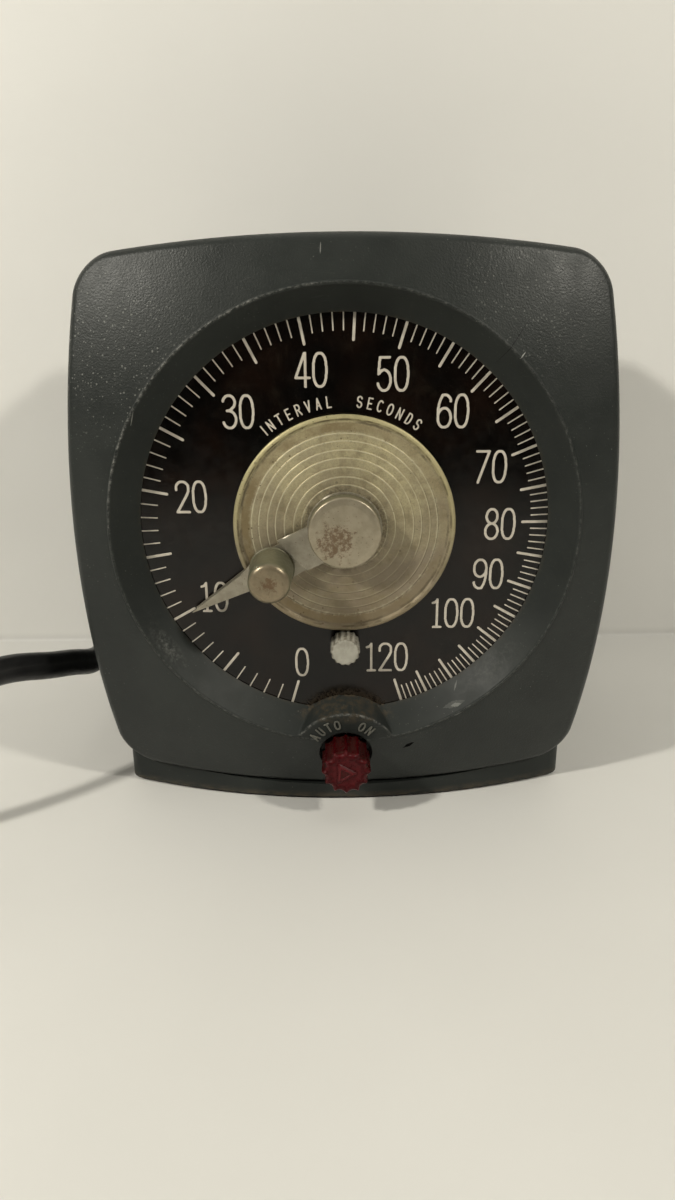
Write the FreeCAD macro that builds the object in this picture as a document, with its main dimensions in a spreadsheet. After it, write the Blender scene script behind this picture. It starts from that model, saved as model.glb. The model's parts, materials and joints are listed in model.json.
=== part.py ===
import FreeCAD, Part
import math
import os
import Sketcher
from FreeCAD import Placement, Rotation, Vector

# Electric interval timer, table model.
# +Z is up, the dial faces -Y, +X is to the right of a person facing the dial.
# Origin: centre of the base, on the lower face of its felt pad.
# Dial coordinates: x right, y up, both from the dial centre, and
# k = distance in front of the dial face (negative behind it).

doc = FreeCAD.newDocument("interval_timer")

# ---------------------------------------------------------------- driving dimensions
# Radii and half widths are in dial coordinates. "front" and "back" give the k of a face;
# for cover, housing and frame they give its depth behind the dial face instead.
SIZES = dict(
    # dial centre in the object
    dial_z=94.0, dial_y=-45.0,
    # front cover: places of its unrounded corners, radius of its bowed sides, dome on its face
    cover_half=74.8, cover_up=76.4, cover_down=82.4, cover_bow=500.0, cover_corner=10.0,
    cover_back=22.0, cover_wall=3.0, dome_radius=272.0, dome_top=17.25,
    # conical recess round the dial, and the boss of the selector below it
    opening_radius=61.1, rim_radius=69.0, rim_front=8.5, ring_radius=69.5,
    boss_down=74.4, boss_radius=15.8, boss_root=17.8, well_radius=8.3, well_floor=1.5,
    # housing: its flanks are upright below housing_straight under the dial centre
    housing_inset=0.8, housing_wall=3.4, housing_back=95.0,
    housing_half=75.49, housing_straight=78.0,
    skirt_front=3.3, skirt_bow=196.0, skirt_gap=0.15,
    # felt pad, in plan
    felt_thick=1.0, felt_half=66.0, felt_front=26.0, felt_back=46.0, felt_bow=215.0,
    # case screws and their posts
    screw_x=64.0, screw_up=66.0, screw_down=72.0, screw_radius=1.9, post_radius=4.5,
    # dial plate and the ring that holds it
    dial_radius=64.2, dial_thick=1.2, dial_bore=4.2, rebate_radius=64.3,
    retainer_radius=68.5, retainer_bore=58.0, retainer_thick=1.2,
    # centre disc
    disc_radius=33.5, disc_back=0.95, disc_band=1.95, disc_rim=2.5, disc_step=0.13,
    # pointers; rest_angle is measured clockwise from straight down
    rest_angle=60.7, setting_tip=54.2, setting_back=2.9, setting_thick=0.8,
    setting_raised=4.2, setting_ring=11.3,
    elapsed_back=0.35, elapsed_thick=0.5, elapsed_tip=53.0,
    # knobs on the setting pointer and on the arbor
    finger_at=25.3, finger_back=3.7, finger_front=19.4,
    finger_foot=6.9, finger_radius=6.6, finger_head=6.3,
    hub_back=5.1, hub_front=10.3, hub_radius=10.9,
    # main arbor, and the radial gap of a turning fit
    arbor_radius=2.5, arbor_seat=3.0, arbor_collar=4.0, run_gap=0.05,
    # small control below the dial centre
    trim_down=38.4, trim_radius=4.55, trim_front=8.6,
    # selector: radii of shaft, bush and knob
    selector_shaft=3.0, selector_bush=4.7, selector_radius=7.7,
    selector_back=4.8, selector_front=19.6,
    # movement frame: depths of the front faces of its two plates, and its pillars
    frame_front=10.0, frame_rear=40.4, plate_thick=1.6,
    front_plate_half=58.0, rear_plate_half=52.0, pillar_at=46.0, pillar_radius=3.5,
    # gear train
    gear_module=0.6, main_teeth=96, middle_teeth=60, pinion_teeth=12, motor_teeth=10,
    # rear fittings: outlet socket and cord
    outlet_x=35.0, outlet_z=60.0, outlet_radius=14.5, outlet_flange=20.0,
    cord_x=-40.0, cord_z=40.0, cord_half=4.6, cord_flat=3.1, cord_hole=6.3,
)


class Size:
    """A length that knows both its number and its spreadsheet formula."""

    def __init__(self, number, formula):
        self.number = float(number)
        self.formula = formula
        self.driven = "Sizes." in formula

    def __add__(self, other):
        other = sized(other)
        return Size(self.number + other.number, "(%s + %s)" % (self.formula, other.formula))

    def __sub__(self, other):
        other = sized(other)
        return Size(self.number - other.number, "(%s - %s)" % (self.formula, other.formula))

    def __mul__(self, other):
        other = sized(other)
        return Size(self.number * other.number, "(%s * %s)" % (self.formula, other.formula))

    def __truediv__(self, other):
        other = sized(other)
        return Size(self.number / other.number, "(%s / %s)" % (self.formula, other.formula))

    def __neg__(self):
        return Size(-self.number, "(0 - %s)" % self.formula)


def sized(value):
    return value if isinstance(value, Size) else Size(value, repr(float(value)))


class Dimensions:
    """Holds each alias of the spreadsheet as a Size."""


dim = Dimensions()
sheet = doc.addObject("Spreadsheet::Sheet", "Sizes")
for row, (alias, number) in enumerate(SIZES.items(), start=1):
    sheet.set("A%d" % row, alias)
    sheet.set("B%d" % row, str(number))
    sheet.setAlias("B%d" % row, alias)
    setattr(dim, alias, Size(number, "Sizes." + alias))
doc.recompute()


# ---------------------------------------------------------------- placing and plain solids
def drive(obj, prop, value):
    """Set a property, and bind it to the spreadsheet where its value comes from there."""
    value = sized(value)
    setattr(obj, prop, value.number)
    if value.driven:
        obj.setExpression(prop, value.formula)


def put(obj, x, y, z, rotation=None):
    """Place in object coordinates."""
    x, y, z = sized(x), sized(y), sized(z)
    obj.Placement = Placement(Vector(x.number, y.number, z.number), rotation or Rotation())
    for axis, value in (("x", x), ("y", y), ("z", z)):
        if value.driven:
            obj.setExpression("Placement.Base." + axis, value.formula)
    return obj


def at_dial(obj, x=0, y=0, k=0, turn=0.0):
    """Place in dial coordinates; local Z points out of the dial."""
    facing = Rotation(Vector(1, 0, 0), 90)
    rotation = facing.multiply(Rotation(Vector(0, 0, 1), turn))
    return put(obj, x, dim.dial_y - k, dim.dial_z + y, rotation)


def solid(kind, name, **sizes):
    obj = doc.addObject("Part::" + kind, name)
    for prop, value in sizes.items():
        drive(obj, prop, value)
    return obj


def cylinder(name, radius, length, x, y, k):
    """Cylinder along the dial axis, from k towards the front."""
    return at_dial(solid("Cylinder", name, Radius=radius, Height=length), x, y, k)


def cylinders(name, places, radius, length, k):
    """The same cylinder at each (x, y)."""
    return [cylinder("%s_%d" % (name, n), radius, length, x, y, k)
            for n, (x, y) in enumerate(places)]


def cone(name, back_radius, front_radius, length, x, y, k):
    shape = solid("Cone", name, Radius1=back_radius, Radius2=front_radius, Height=length)
    return at_dial(shape, x, y, k)


def box(name, x0, x1, y0, y1, k0, k1):
    """Box in dial coordinates."""
    x0, y0, k0 = sized(x0), sized(y0), sized(k0)
    shape = solid("Box", name, Length=sized(x1) - x0, Width=sized(y1) - y0, Height=sized(k1) - k0)
    return at_dial(shape, x0, y0, k0)


def slot(name, x, y, half_length, half_width, k0, k1):
    """Box centred on (x, y), for a screwdriver slot."""
    x, y = sized(x), sized(y)
    return box(name, x - half_length, x + half_length, y - half_width, y + half_width, k0, k1)


def upright_cylinder(name, radius, height, x, y, z):
    return put(solid("Cylinder", name, Radius=radius, Height=height), x, y, z)


def upright_box(name, length, width, height, x, y, z):
    return put(solid("Box", name, Length=length, Width=width, Height=height), x, y, z)


def fuse(name, objects):
    fusion = doc.addObject("Part::MultiFuse", name)
    fusion.Shapes = objects
    return fusion


def cut(name, base, *tools):
    tool = tools[0] if len(tools) == 1 else fuse(name + "_tools", list(tools))
    result = doc.addObject("Part::Cut", name)
    result.Base, result.Tool = base, tool
    return result


def common(name, base, tool):
    result = doc.addObject("Part::Common", name)
    result.Base, result.Tool = base, tool
    return result


def group(name, objects):
    compound = doc.addObject("Part::Compound", name)
    compound.Links = objects
    return compound


def shape_feature(name, shape):
    feature = doc.addObject("Part::Feature", name)
    feature.Shape = shape
    return feature


PIECES = {}


def piece(build):
    """Build a piece, label it with its function's name and list it for export."""
    obj = build()
    obj.Label = build.__name__
    PIECES[build.__name__] = obj
    return obj


# ---------------------------------------------------------------- sketches and bodies
# An outline is a list of stops: (x, y) is the end of a straight line, (x, y, radius) the end
# of an arc that bulges to the right of the way it runs, (x, y, radius, -1) to the left.
# It closes itself. A circle is (x, y, radius).
def origin_plane(body, role):
    return [f for f in body.Origin.OriginFeatures if f.Role == role][0]


def point(stop):
    return Vector(sized(stop[0]).number, sized(stop[1]).number, 0)


def constrain(sk, name, value, *what):
    """Dimension whose value may come from the spreadsheet."""
    value = sized(value)
    sk.renameConstraint(sk.addConstraint(Sketcher.Constraint(*what, value.number)), name)
    if value.driven:
        sk.setExpression("Constraints." + name, value.formula)


def fix_point(sk, geometry, vertex, x, y, name):
    for axis, kind, value in ((-2, "DistanceX", x), (-1, "DistanceY", y)):
        if abs(sized(value).number) < 1e-9:
            sk.addConstraint(Sketcher.Constraint("PointOnObject", geometry, vertex, axis))
        else:
            constrain(sk, "%s_%s" % (name, kind[-1].lower()), value, kind, -1, 1, geometry, vertex)


def arc_middle(start, end, radius, side):
    chord = end.sub(start)
    half = chord.Length / 2.0
    sag = radius - math.sqrt(max(radius * radius - half * half, 0.0))
    across = Vector(chord.y, -chord.x, 0)
    across.normalize()
    return start.add(end).multiply(0.5).add(across.multiply(sag * side))


def draw_outline(sk, outline):
    stops = list(outline)
    if point(stops[-1]).sub(point(stops[0])).Length > 1e-9:
        stops.append(stops[0])
    drawn = []                             # (geometry, start vertex, end vertex)
    for here, there in zip(stops, stops[1:]):
        start, end = point(here), point(there)
        if len(there) == 2:
            line = sk.addGeometry(Part.LineSegment(start, end), False)
            drawn.append((line, 1, 2))
        else:
            side = there[3] if len(there) > 3 else 1
            middle = arc_middle(start, end, sized(there[2]).number, side)
            arc = sk.addGeometry(Part.Arc(start, middle, end), False)
            # a sketch stores arcs anticlockwise, so the ends may have changed places
            kept = sk.Geometry[arc].StartPoint.sub(start).Length < 1e-6
            drawn.append((arc, 1, 2) if kept else (arc, 2, 1))
    for now, following in zip(drawn, drawn[1:] + drawn[:1]):
        sk.addConstraint(
            Sketcher.Constraint("Coincident", now[0], now[2], following[0], following[1]))
    for n, (geometry, first, last) in enumerate(drawn):
        fix_point(sk, geometry, first, stops[n][0], stops[n][1], "corner%d" % n)
    for n, stop in enumerate(stops[1:]):
        if len(stop) > 2:
            constrain(sk, "arc%d" % n, stop[2], "Radius", drawn[n][0])


def sketch(body, name, outline=(), circles=(), up=0, plane="XY_Plane"):
    """Sketch on a plane of the body's origin, moved by up along the plane's normal."""
    sk = body.newObject("Sketcher::SketchObject", name)
    sk.AttachmentSupport = [(origin_plane(body, plane), "")]
    sk.MapMode = "FlatFace"
    up = sized(up)
    sk.AttachmentOffset = Placement(Vector(0, 0, up.number), Rotation())
    if up.driven:
        sk.setExpression("AttachmentOffset.Base.z", up.formula)
    if outline:
        draw_outline(sk, outline)
    for n, (x, y, radius) in enumerate(circles):
        shape = Part.Circle(point((x, y)), Vector(0, 0, 1), sized(radius).number)
        circle = sk.addGeometry(shape, False)
        fix_point(sk, circle, 3, x, y, "centre%d" % n)
        constrain(sk, "radius%d" % n, radius, "Radius", circle)
    return sk


def new_body(name):
    return doc.addObject("PartDesign::Body", name)


def pad(body, profile, length):
    feature = body.newObject("PartDesign::Pad", profile.Name + "_pad")
    feature.Profile = profile
    drive(feature, "Length", length)


def pocket(body, profile, depth):
    """Pocket along the sketch's normal."""
    doc.recompute()
    before = body.Shape.Volume
    feature = body.newObject("PartDesign::Pocket", profile.Name + "_cut")
    feature.Profile = profile
    drive(feature, "Length", depth)
    feature.Reversed = True
    doc.recompute()
    if body.Shape.Volume >= before - 1e-6:
        # guards against a pocket that runs away from the solid
        feature.Reversed = False
        doc.recompute()
    assert body.Shape.Volume < before - 1e-6, feature.Name + " cuts nothing"
    return feature


def turned(name, profile, x=0, y=0, k=0):
    """Piece turned about its own axis; profile in (radius, k)."""
    body = new_body(name)
    sk = sketch(body, name + "_profile", profile, plane="XZ_Plane")
    revolution = body.newObject("PartDesign::Revolution", name + "_turned")
    revolution.Profile = sk
    revolution.ReferenceAxis = (sk, ["V_Axis"])
    revolution.Angle = 360
    return at_dial(body, x, y, k)


def padded(name, outline, circles, k, length, x=0, y=0):
    """Flat piece: outline with round holes, from k towards the front."""
    body = new_body(name)
    pad(body, sketch(body, name + "_outline", outline, circles), length)
    return at_dial(body, x, y, k)


def fillet(body, name, edges, radius):
    tip = body.Tip
    feature = body.newObject("PartDesign::Fillet", name)
    feature.Base = (tip, edges)
    drive(feature, "Radius", radius)
    doc.recompute()
    return feature


def rounded_block(name, outline, k, length, corner, above=-math.inf):
    """Padded outline whose front-to-back edges higher than z = above are rounded."""
    body = padded(name, outline, (), k, length)
    doc.recompute()
    edges = []
    for n, edge in enumerate(body.Shape.Edges, start=1):
        if len(edge.Vertexes) == 2 and isinstance(edge.Curve, (Part.Line, Part.LineSegment)):
            first, last = [vertex.Point for vertex in edge.Vertexes]
            run = last.sub(first)
            if abs(abs(run.y) - run.Length) < 1e-6 and first.z > above:
                edges.append("Edge%d" % n)
    fillet(body, name + "_corners", edges, corner)
    return body


def fluted_knob(name, radius, height, cutter_out, cutter_radius, count):
    """Round knob with flutes; cutter_out is the distance of the cutter's axis from the rim."""
    body = new_body(name)
    pad(body, sketch(body, name + "_round", circles=[(0, 0, radius)]), height)
    flute = sketch(body, name + "_flute", circles=[(radius + cutter_out, 0, cutter_radius)])
    cutter = pocket(body, flute, 40)
    pattern = body.newObject("PartDesign::PolarPattern", name + "_flutes")
    pattern.Originals = [cutter]
    pattern.Axis = (flute, ["N_Axis"])
    pattern.Angle = 360
    pattern.Occurrences = count
    body.Tip = pattern
    doc.recompute()
    return body


# ---------------------------------------------------------------- screws and spacers
def screw(name, x, y, k, length, front=True, head=2.8, radius=1.45, tall=1.8):
    """Cheese-head screw; k is the plane under the head, front tells which way the head is."""
    k = sized(k)
    if front:
        head_k, shank_k, slot_k = k, k - length, k + tall - 0.8
    else:
        head_k, shank_k, slot_k = k - tall, k - 0.2, k - tall - 1
    return cut(name, fuse(name + "_sum", [
        cylinder(name + "_head", head, tall, x, y, head_k),
        cylinder(name + "_shank", radius, length + 0.2, x, y, shank_k)]),
        slot(name + "_slot", x, y, head + 1, 0.35, slot_k, slot_k + 1.8))


def screws(name, places, k, length, **options):
    """The same screw at each (x, y)."""
    return [screw("%s_%d" % (name, n), x, y, k, length, **options)
            for n, (x, y) in enumerate(places)]


def spacers(name, places, radius, length, k):
    """Round posts bored through for screws."""
    return [cut("%s_%d" % (name, n),
                cylinder("%s_outer_%d" % (name, n), radius, length, x, y, k),
                cylinder("%s_bore_%d" % (name, n), 1.5, 60, x, y, k - 10))
            for n, (x, y) in enumerate(places)]


def corners(right, left, up, down):
    return [(right, up), (left, up), (right, down), (left, down)]


# ---------------------------------------------------------------- shared places
FIT = 0.02                                 # radial gap of a piece fixed on its seat
CASE_SCREWS = corners(dim.screw_x, -dim.screw_x, dim.screw_up, -dim.screw_down)
MOVEMENT_SCREWS = corners(53.0, -53.0, 53.0, -53.0)
DIAL_SCREWS = [(66.4 * math.cos(math.radians(angle)), 66.4 * math.sin(math.radians(angle)))
               for angle in (45, 135, 225, 315)]
PILLARS = corners(dim.pillar_at, -dim.pillar_at, dim.pillar_at, -dim.pillar_at)
MOTOR_POSTS = corners(22.0, -26.0, 34.0, -26.0)
SWITCH_SCREWS = [(18.5, -31.5), (39.5, -31.5)]
LEVER_PIVOT = (40.0, -19.6)
LEVER_TIP = (6.0, -14.2)
SELECTOR_Y = -dim.boss_down
OUTLET = (dim.outlet_x, dim.outlet_z - dim.dial_z)
OUTLET_SCREWS = [(OUTLET[0] - 17.3, OUTLET[1]), (OUTLET[0] + 17.3, OUTLET[1])]

HOUSING_REAR = -dim.housing_back
RETAINER_BACK = -dim.dial_thick - dim.retainer_thick
FRONT_PLATE_BACK = -dim.frame_front - dim.plate_thick
REAR_PLATE_BACK = -dim.frame_rear - dim.plate_thick
FLOOR_Z = dim.felt_thick + dim.housing_wall


# ---------------------------------------------------------------- front cover
def cover_outline(inset):
    """Outline of the cover, set in on all sides; all four sides are bowed outwards."""
    half = dim.cover_half - inset
    top = dim.cover_up - inset
    bottom = -(dim.cover_down - inset)
    bow = dim.cover_bow - inset
    return [(-half, top), (-half, bottom, bow), (half, bottom, bow), (half, top, bow),
            (-half, top, bow)]


def dome(name, top):
    sphere = solid("Sphere", name, Radius=dim.dome_radius)
    return at_dial(sphere, 0, 0, top - dim.dome_radius)


def cover_blank():
    """Solid cover with a domed face and a softened edge round it."""
    sides = rounded_block("cover_outer", cover_outline(sized(0)), -dim.cover_back,
                          dim.cover_back + 18, dim.cover_corner)
    block = common("cover_block", sides, dome("dome", dim.dome_top))
    doc.recompute()
    rim_edges = []
    for n, edge in enumerate(block.Shape.Edges, start=1):
        span = edge.LastParameter - edge.FirstParameter
        samples = [edge.valueAt(edge.FirstParameter + span * part) for part in (0.1, 0.5, 0.9)]
        if all(sample.y < dim.dial_y.number + 6.5 for sample in samples):
            rim_edges.append((n, 2.2, 2.2))
    softened = doc.addObject("Part::Fillet", "cover_edge")
    softened.Base = block
    softened.Edges = rim_edges
    doc.recompute()
    # guards against a fillet that fails on the domed edge: the block then stays sharp
    if softened.Shape.isNull() or not softened.Shape.isValid():
        doc.removeObject("cover_edge")
        return block
    return softened


def cover_hollow():
    """Inside of the cover, less what stays solid: dial ring, boss and screw posts."""
    inner = rounded_block("cover_inner", cover_outline(dim.cover_wall), -dim.cover_back - 1,
                          dim.cover_back + 19, dim.cover_corner - dim.cover_wall)
    inside = common("inner_hollow", inner, dome("inner_dome", dim.dome_top - dim.cover_wall))
    kept = [cylinder("keep_ring", dim.ring_radius, 40, 0, 0, -1.2),
            cylinder("keep_boss", dim.boss_root, 40, 0, SELECTOR_Y, -1.2)]
    kept += cylinders("keep_post", CASE_SCREWS, dim.post_radius, 50, -dim.cover_back)
    kept += cylinders("keep_mount", MOVEMENT_SCREWS, 3.8, 50, -dim.frame_front)
    return cut("hollow_tool", inside, fuse("keep_all", kept))


@piece
def front_cover():
    blank = cover_blank()
    hollow = cover_hollow()
    # the cone of the recess runs 12 past the rim, at the same slope
    beyond = 12.0
    flare = (dim.rim_radius - dim.opening_radius) * (sized(beyond) / dim.rim_front)
    recess = cut("recess_tool",
                 cone("recess", dim.opening_radius, dim.rim_radius + flare,
                      dim.rim_front + beyond, 0, 0, 0),
                 cone("boss_body", dim.boss_root, dim.boss_radius, 12, 0, SELECTOR_Y, 0))
    tools = [
        hollow, recess,
        cylinder("rebate", dim.rebate_radius, 30, 0, 0, -30),
        cylinder("well", dim.well_radius, 30, 0, SELECTOR_Y, dim.well_floor),
        cylinder("bush_hole", dim.selector_bush + 0.1, 40, 0, SELECTOR_Y, -20)]
    tools += cylinders("pilot", CASE_SCREWS, dim.screw_radius + 0.05, 14, -dim.cover_back - 1)
    tools += cylinders("mount_pilot", MOVEMENT_SCREWS, 1.5, 8, -dim.frame_front - 1)
    tools += cylinders("dial_pilot", DIAL_SCREWS, 1.3, 5.0, -2.2)
    return cut("front_cover", blank, *tools)


# ---------------------------------------------------------------- housing
def housing_block(name, inset, k, length, floor, corner):
    """Cover outline set in, with upright flanks and a flat bottom below housing_straight."""
    half = dim.cover_half - inset
    top = dim.cover_up - inset
    bow = dim.cover_bow - inset
    flank = dim.housing_half - inset
    straight = -dim.housing_straight
    bottom = -(dim.dial_z - dim.felt_thick - floor)
    outline = [(-half, top), (-flank, straight, bow), (-flank, bottom), (flank, bottom),
               (flank, straight), (half, top, bow), (-half, top, bow)]
    return rounded_block(name, outline, k, length, corner, above=dim.dial_z.number)


def housing_outer():
    """Outside of the housing, with its rear edge rounded except along the bottom."""
    outer = housing_block("hou_outer", dim.housing_inset, HOUSING_REAR,
                          dim.housing_back - dim.cover_back, floor=0,
                          corner=dim.cover_corner - dim.housing_inset)
    rear_y = dim.dial_y.number + dim.housing_back.number
    low_z = dim.felt_thick.number + 1
    rear_edges = []
    for n, edge in enumerate(outer.Shape.Edges, start=1):
        if all(abs(vertex.Point.y - rear_y) < 1e-6 for vertex in edge.Vertexes) and \
                any(vertex.Point.z > low_z for vertex in edge.Vertexes):
            rear_edges.append("Edge%d" % n)
    rounding = fillet(outer, "hou_rear_edge", rear_edges, 4.0)
    # guards against a fillet that fails on the rear edge: the edge then stays sharp
    if rounding.Shape.isNull() or not rounding.isValid():
        outer.removeObject(rounding)
        doc.removeObject("hou_rear_edge")
        doc.recompute()
    return outer


def base_skirt():
    """Base that runs forward under the cover, bowed in plan."""
    height = 18
    half = dim.housing_half - dim.housing_inset
    tail = -(dim.cover_back + 2)
    corner_x, corner_radius = 71.2, 5.5
    corner_k = dim.skirt_front - 13.4
    side_k = -15.2
    block = new_body("skirt_block")
    plan = [(-half, tail), (half, tail), (half, side_k), (corner_x, corner_k, corner_radius),
            (-corner_x, corner_k, dim.skirt_bow), (-half, side_k, corner_radius)]
    pad(block, sketch(block, "skirt_plan", plan), height)
    # the plan is in (x, k) and k runs towards -Y, so the block is turned over
    put(block, 0, dim.dial_y, dim.felt_thick + height, Rotation(Vector(1, 0, 0), 180))
    room = rounded_block("cover_room", cover_outline(-dim.skirt_gap), -dim.cover_back,
                         dim.cover_back + 20, dim.cover_corner)
    return cut("skirt_piece", block, room)


@piece
def rear_housing():
    outer = housing_outer()
    inner = housing_block("hou_inner", dim.housing_inset + dim.housing_wall,
                          HOUSING_REAR + dim.housing_wall, dim.housing_back,
                          floor=dim.housing_wall, corner=5.0)
    skirt = base_skirt()
    posts = cylinders("hou_post", CASE_SCREWS, dim.post_radius,
                      dim.housing_back - dim.cover_back - 1, HOUSING_REAR + 1)
    shell = cut("hou_shell", outer, inner)
    tools = cylinders("scr_hole", CASE_SCREWS, dim.screw_radius + 0.2, 120, HOUSING_REAR - 5)
    start = HOUSING_REAR - 3
    tools += [
        cylinder("out_hole", dim.outlet_radius + 0.2, 12, *OUTLET, start),
        cylinder("cord_hole", dim.cord_hole, 12, dim.cord_x, dim.cord_z - dim.dial_z, start)]
    tools += cylinders("out_pilot", OUTLET_SCREWS, 1.25, 12, start)
    vent_bottom, vent_pitch, vent_height = 40.0, 6.0, 2.6
    for n in range(5):
        y = vent_bottom + vent_pitch * n
        tools.append(box("vent_%d" % n, -30.0, 30.0, y, y + vent_height, start, HOUSING_REAR + 6))
    return cut("rear_housing", fuse("hou_sum", [shell, skirt] + posts), *tools)


@piece
def base_pad():
    """Felt pad under the base, bowed at the front; the timer stands on its lower face."""
    half = dim.felt_half
    felt = new_body("base_pad")
    plan = [(-half, dim.felt_back), (-half, -dim.felt_front),
            (half, -dim.felt_front, dim.felt_bow), (half, dim.felt_back)]
    pad(felt, sketch(felt, "felt_plan", plan), dim.felt_thick)
    return felt


@piece
def case_screws():
    """Screws from the back, through the housing posts into the cover."""
    rear = HOUSING_REAR
    made = []
    for n, (x, y) in enumerate(CASE_SCREWS):
        head = cone("cs_head_%d" % n, 3.2, 3.7, 2.0, x, y, rear - 2)
        shank = cylinder("cs_shank_%d" % n, dim.screw_radius, 84, x, y, rear)
        groove = slot("cs_slot_%d" % n, x, y, 4, 0.5, rear - 3, rear - 1.0)
        made.append(cut("cs_%d" % n, fuse("cs_sum_%d" % n, [head, shank]), groove))
    return group("case_screws", made)


# ---------------------------------------------------------------- dial
@piece
def dial_plate():
    circles = [(0, 0, dim.dial_radius), (0, 0, dim.dial_bore), (0, -dim.trim_down, 1.7)]
    return padded("dial_plate", (), circles, -dim.dial_thick, dim.dial_thick)


@piece
def dial_retaining_ring():
    circles = [(0, 0, dim.retainer_radius), (0, 0, dim.retainer_bore)]
    circles += [(x, y, 1.6) for x, y in DIAL_SCREWS]
    return padded("dial_retaining_ring", (), circles, RETAINER_BACK, dim.retainer_thick)


@piece
def dial_screws():
    made = []
    for n, (x, y) in enumerate(DIAL_SCREWS):
        head = cylinder("ds_head_%d" % n, 2.4, 1.4, x, y, RETAINER_BACK - 1.4)
        shank = cylinder("ds_shank_%d" % n, 1.25, 4.6, x, y, RETAINER_BACK)
        groove = slot("ds_slot_%d" % n, x, y, 3, 0.3, RETAINER_BACK - 2, RETAINER_BACK - 0.7)
        made.append(cut("ds_%d" % n, fuse("ds_sum_%d" % n, [head, shank]), groove))
    return group("dial_screws", made)


# ---------------------------------------------------------------- arbor, disc, pointers
# Pointers are drawn along local +X and turned to their place of rest.
POINTER_TURN = -(90.0 + dim.rest_angle.number)
REST_RADIANS = math.radians(dim.rest_angle.number)
FINGER_PLACE = (-dim.finger_at.number * math.sin(REST_RADIANS),
                -dim.finger_at.number * math.cos(REST_RADIANS))


@piece
def main_arbor():
    nose = 2.2
    return turned("main_arbor", [
        (0, -43.0), (dim.arbor_radius, -43.0), (dim.arbor_radius, -2.0),
        (dim.arbor_collar, -2.0), (dim.arbor_collar, dim.elapsed_back),
        (dim.arbor_seat, dim.elapsed_back), (dim.arbor_seat, dim.hub_back),
        (nose, dim.hub_back), (nose, 8.6), (0, 8.6)])


@piece
def centre_disc():
    """Disc with a raised rim and shallow rings that step up towards the centre."""
    step_radii = (28.1, 25.9, 23.3, 20.9, 18.2, 15.4, 13.0)
    bore = dim.arbor_seat + FIT
    profile = [(bore, dim.disc_back), (32.6, dim.disc_back),
               (dim.disc_radius, dim.disc_back + 0.75, 0.9),
               (32.7, dim.disc_rim, 0.9), (31.9, dim.disc_band, 0.9)]
    for n, radius in enumerate(step_radii):
        profile.append((radius + 0.25, dim.disc_band + dim.disc_step * n))
        profile.append((radius, dim.disc_band + dim.disc_step * (n + 1)))
    profile.append((bore, dim.disc_band + dim.disc_step * len(step_radii)))
    return turned("centre_disc", profile)


@piece
def elapsed_pointer():
    pointer = new_body("elapsed_pointer")
    tip = dim.elapsed_tip
    blade = [(0, -5.0), (33.0, -3.4), (tip, -0.2), (tip, 0.2), (33.0, 3.4), (0, 5.0)]
    pad(pointer, sketch(pointer, "elapsed_blade", blade), dim.elapsed_thick)
    pad(pointer, sketch(pointer, "elapsed_hub", circles=[(0, 0, 8.0)]), dim.elapsed_thick)
    bore = sketch(pointer, "elapsed_bore", circles=[(0, 0, dim.arbor_seat + FIT)])
    pocket(pointer, bore, 2)
    return at_dial(pointer, 0, 0, dim.elapsed_back, POINTER_TURN)


@piece
def setting_pointer():
    """Raised ring and tab round the arbor, a web down, and a lower blade."""
    raised, low, thick, tip = (dim.setting_raised, dim.setting_back, dim.setting_thick,
                               dim.setting_tip)
    tab = [(6.0, -6.0), (19.1, -5.0), (16.4, 5.6), (6.0, 6.4)]
    web = [(18.2, -5.0), (19.1, -5.0), (16.4, 5.6), (15.5, 5.6)]
    blade = [(15.5, 5.6), (18.2, -5.0), (22.0, -5.6), (29.0, -4.9), (35.0, -2.9), (tip, -0.18),
             (tip, 0.18), (35.0, 2.9), (29.0, 4.9), (22.0, 5.6)]
    pointer = new_body("setting_pointer")
    ring = sketch(pointer, "setting_ring", circles=[(0, 0, dim.setting_ring)], up=raised)
    pad(pointer, ring, thick)
    pad(pointer, sketch(pointer, "setting_tab", tab, up=raised), thick)
    pad(pointer, sketch(pointer, "setting_web", web, up=low), raised + thick - low)
    pad(pointer, sketch(pointer, "setting_blade", blade, up=low), thick)
    bore = [(0, 0, dim.arbor_seat + dim.run_gap)]
    pocket(pointer, sketch(pointer, "setting_bore", circles=bore, up=low), 6)
    screw_hole = [(dim.finger_at, 0, 1.3)]
    pocket(pointer, sketch(pointer, "setting_screw_hole", circles=screw_hole), 6)
    return at_dial(pointer, 0, 0, 0, POINTER_TURN)


@piece
def finger_knob():
    back, front, round_over = dim.finger_back, dim.finger_front, 1.9
    bore, bore_end = 1.3, dim.finger_back + 6
    return turned("finger_knob", [
        (bore, back), (dim.finger_foot, back), (dim.finger_foot, back + 0.7),
        (dim.finger_radius, back + 0.9), (dim.finger_head, front - round_over),
        (dim.finger_head - round_over, front, round_over), (0, front - 0.15),
        (0, bore_end), (bore, bore_end)], *FINGER_PLACE)


@piece
def finger_knob_screw():
    low, head_height = dim.setting_back, 0.45
    return fuse("finger_knob_screw", [
        cylinder("fks_head", 2.3, head_height, *FINGER_PLACE, low - head_height),
        cylinder("fks_shank", 1.25, 6.4, *FINGER_PLACE, low - 0.1)])


@piece
def hub_lock_knob():
    back, front, radius, round_over = dim.hub_back, dim.hub_front, dim.hub_radius, 1.3
    bore, bore_end = 2.25, 8.8
    return turned("hub_lock_knob", [
        (bore, back), (radius - 0.3, back), (radius, back + 0.3),
        (radius - 0.1, front - round_over), (radius - 1.4, front, round_over),
        (0, front + 0.15), (0, bore_end), (bore, bore_end)])


@piece
def friction_washer():
    bore = dim.arbor_seat + 0.05
    return turned("friction_washer", [(bore, 3.0), (7.0, 3.0), (7.0, 3.3), (4.6, 4.1), (bore, 4.1)])


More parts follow.
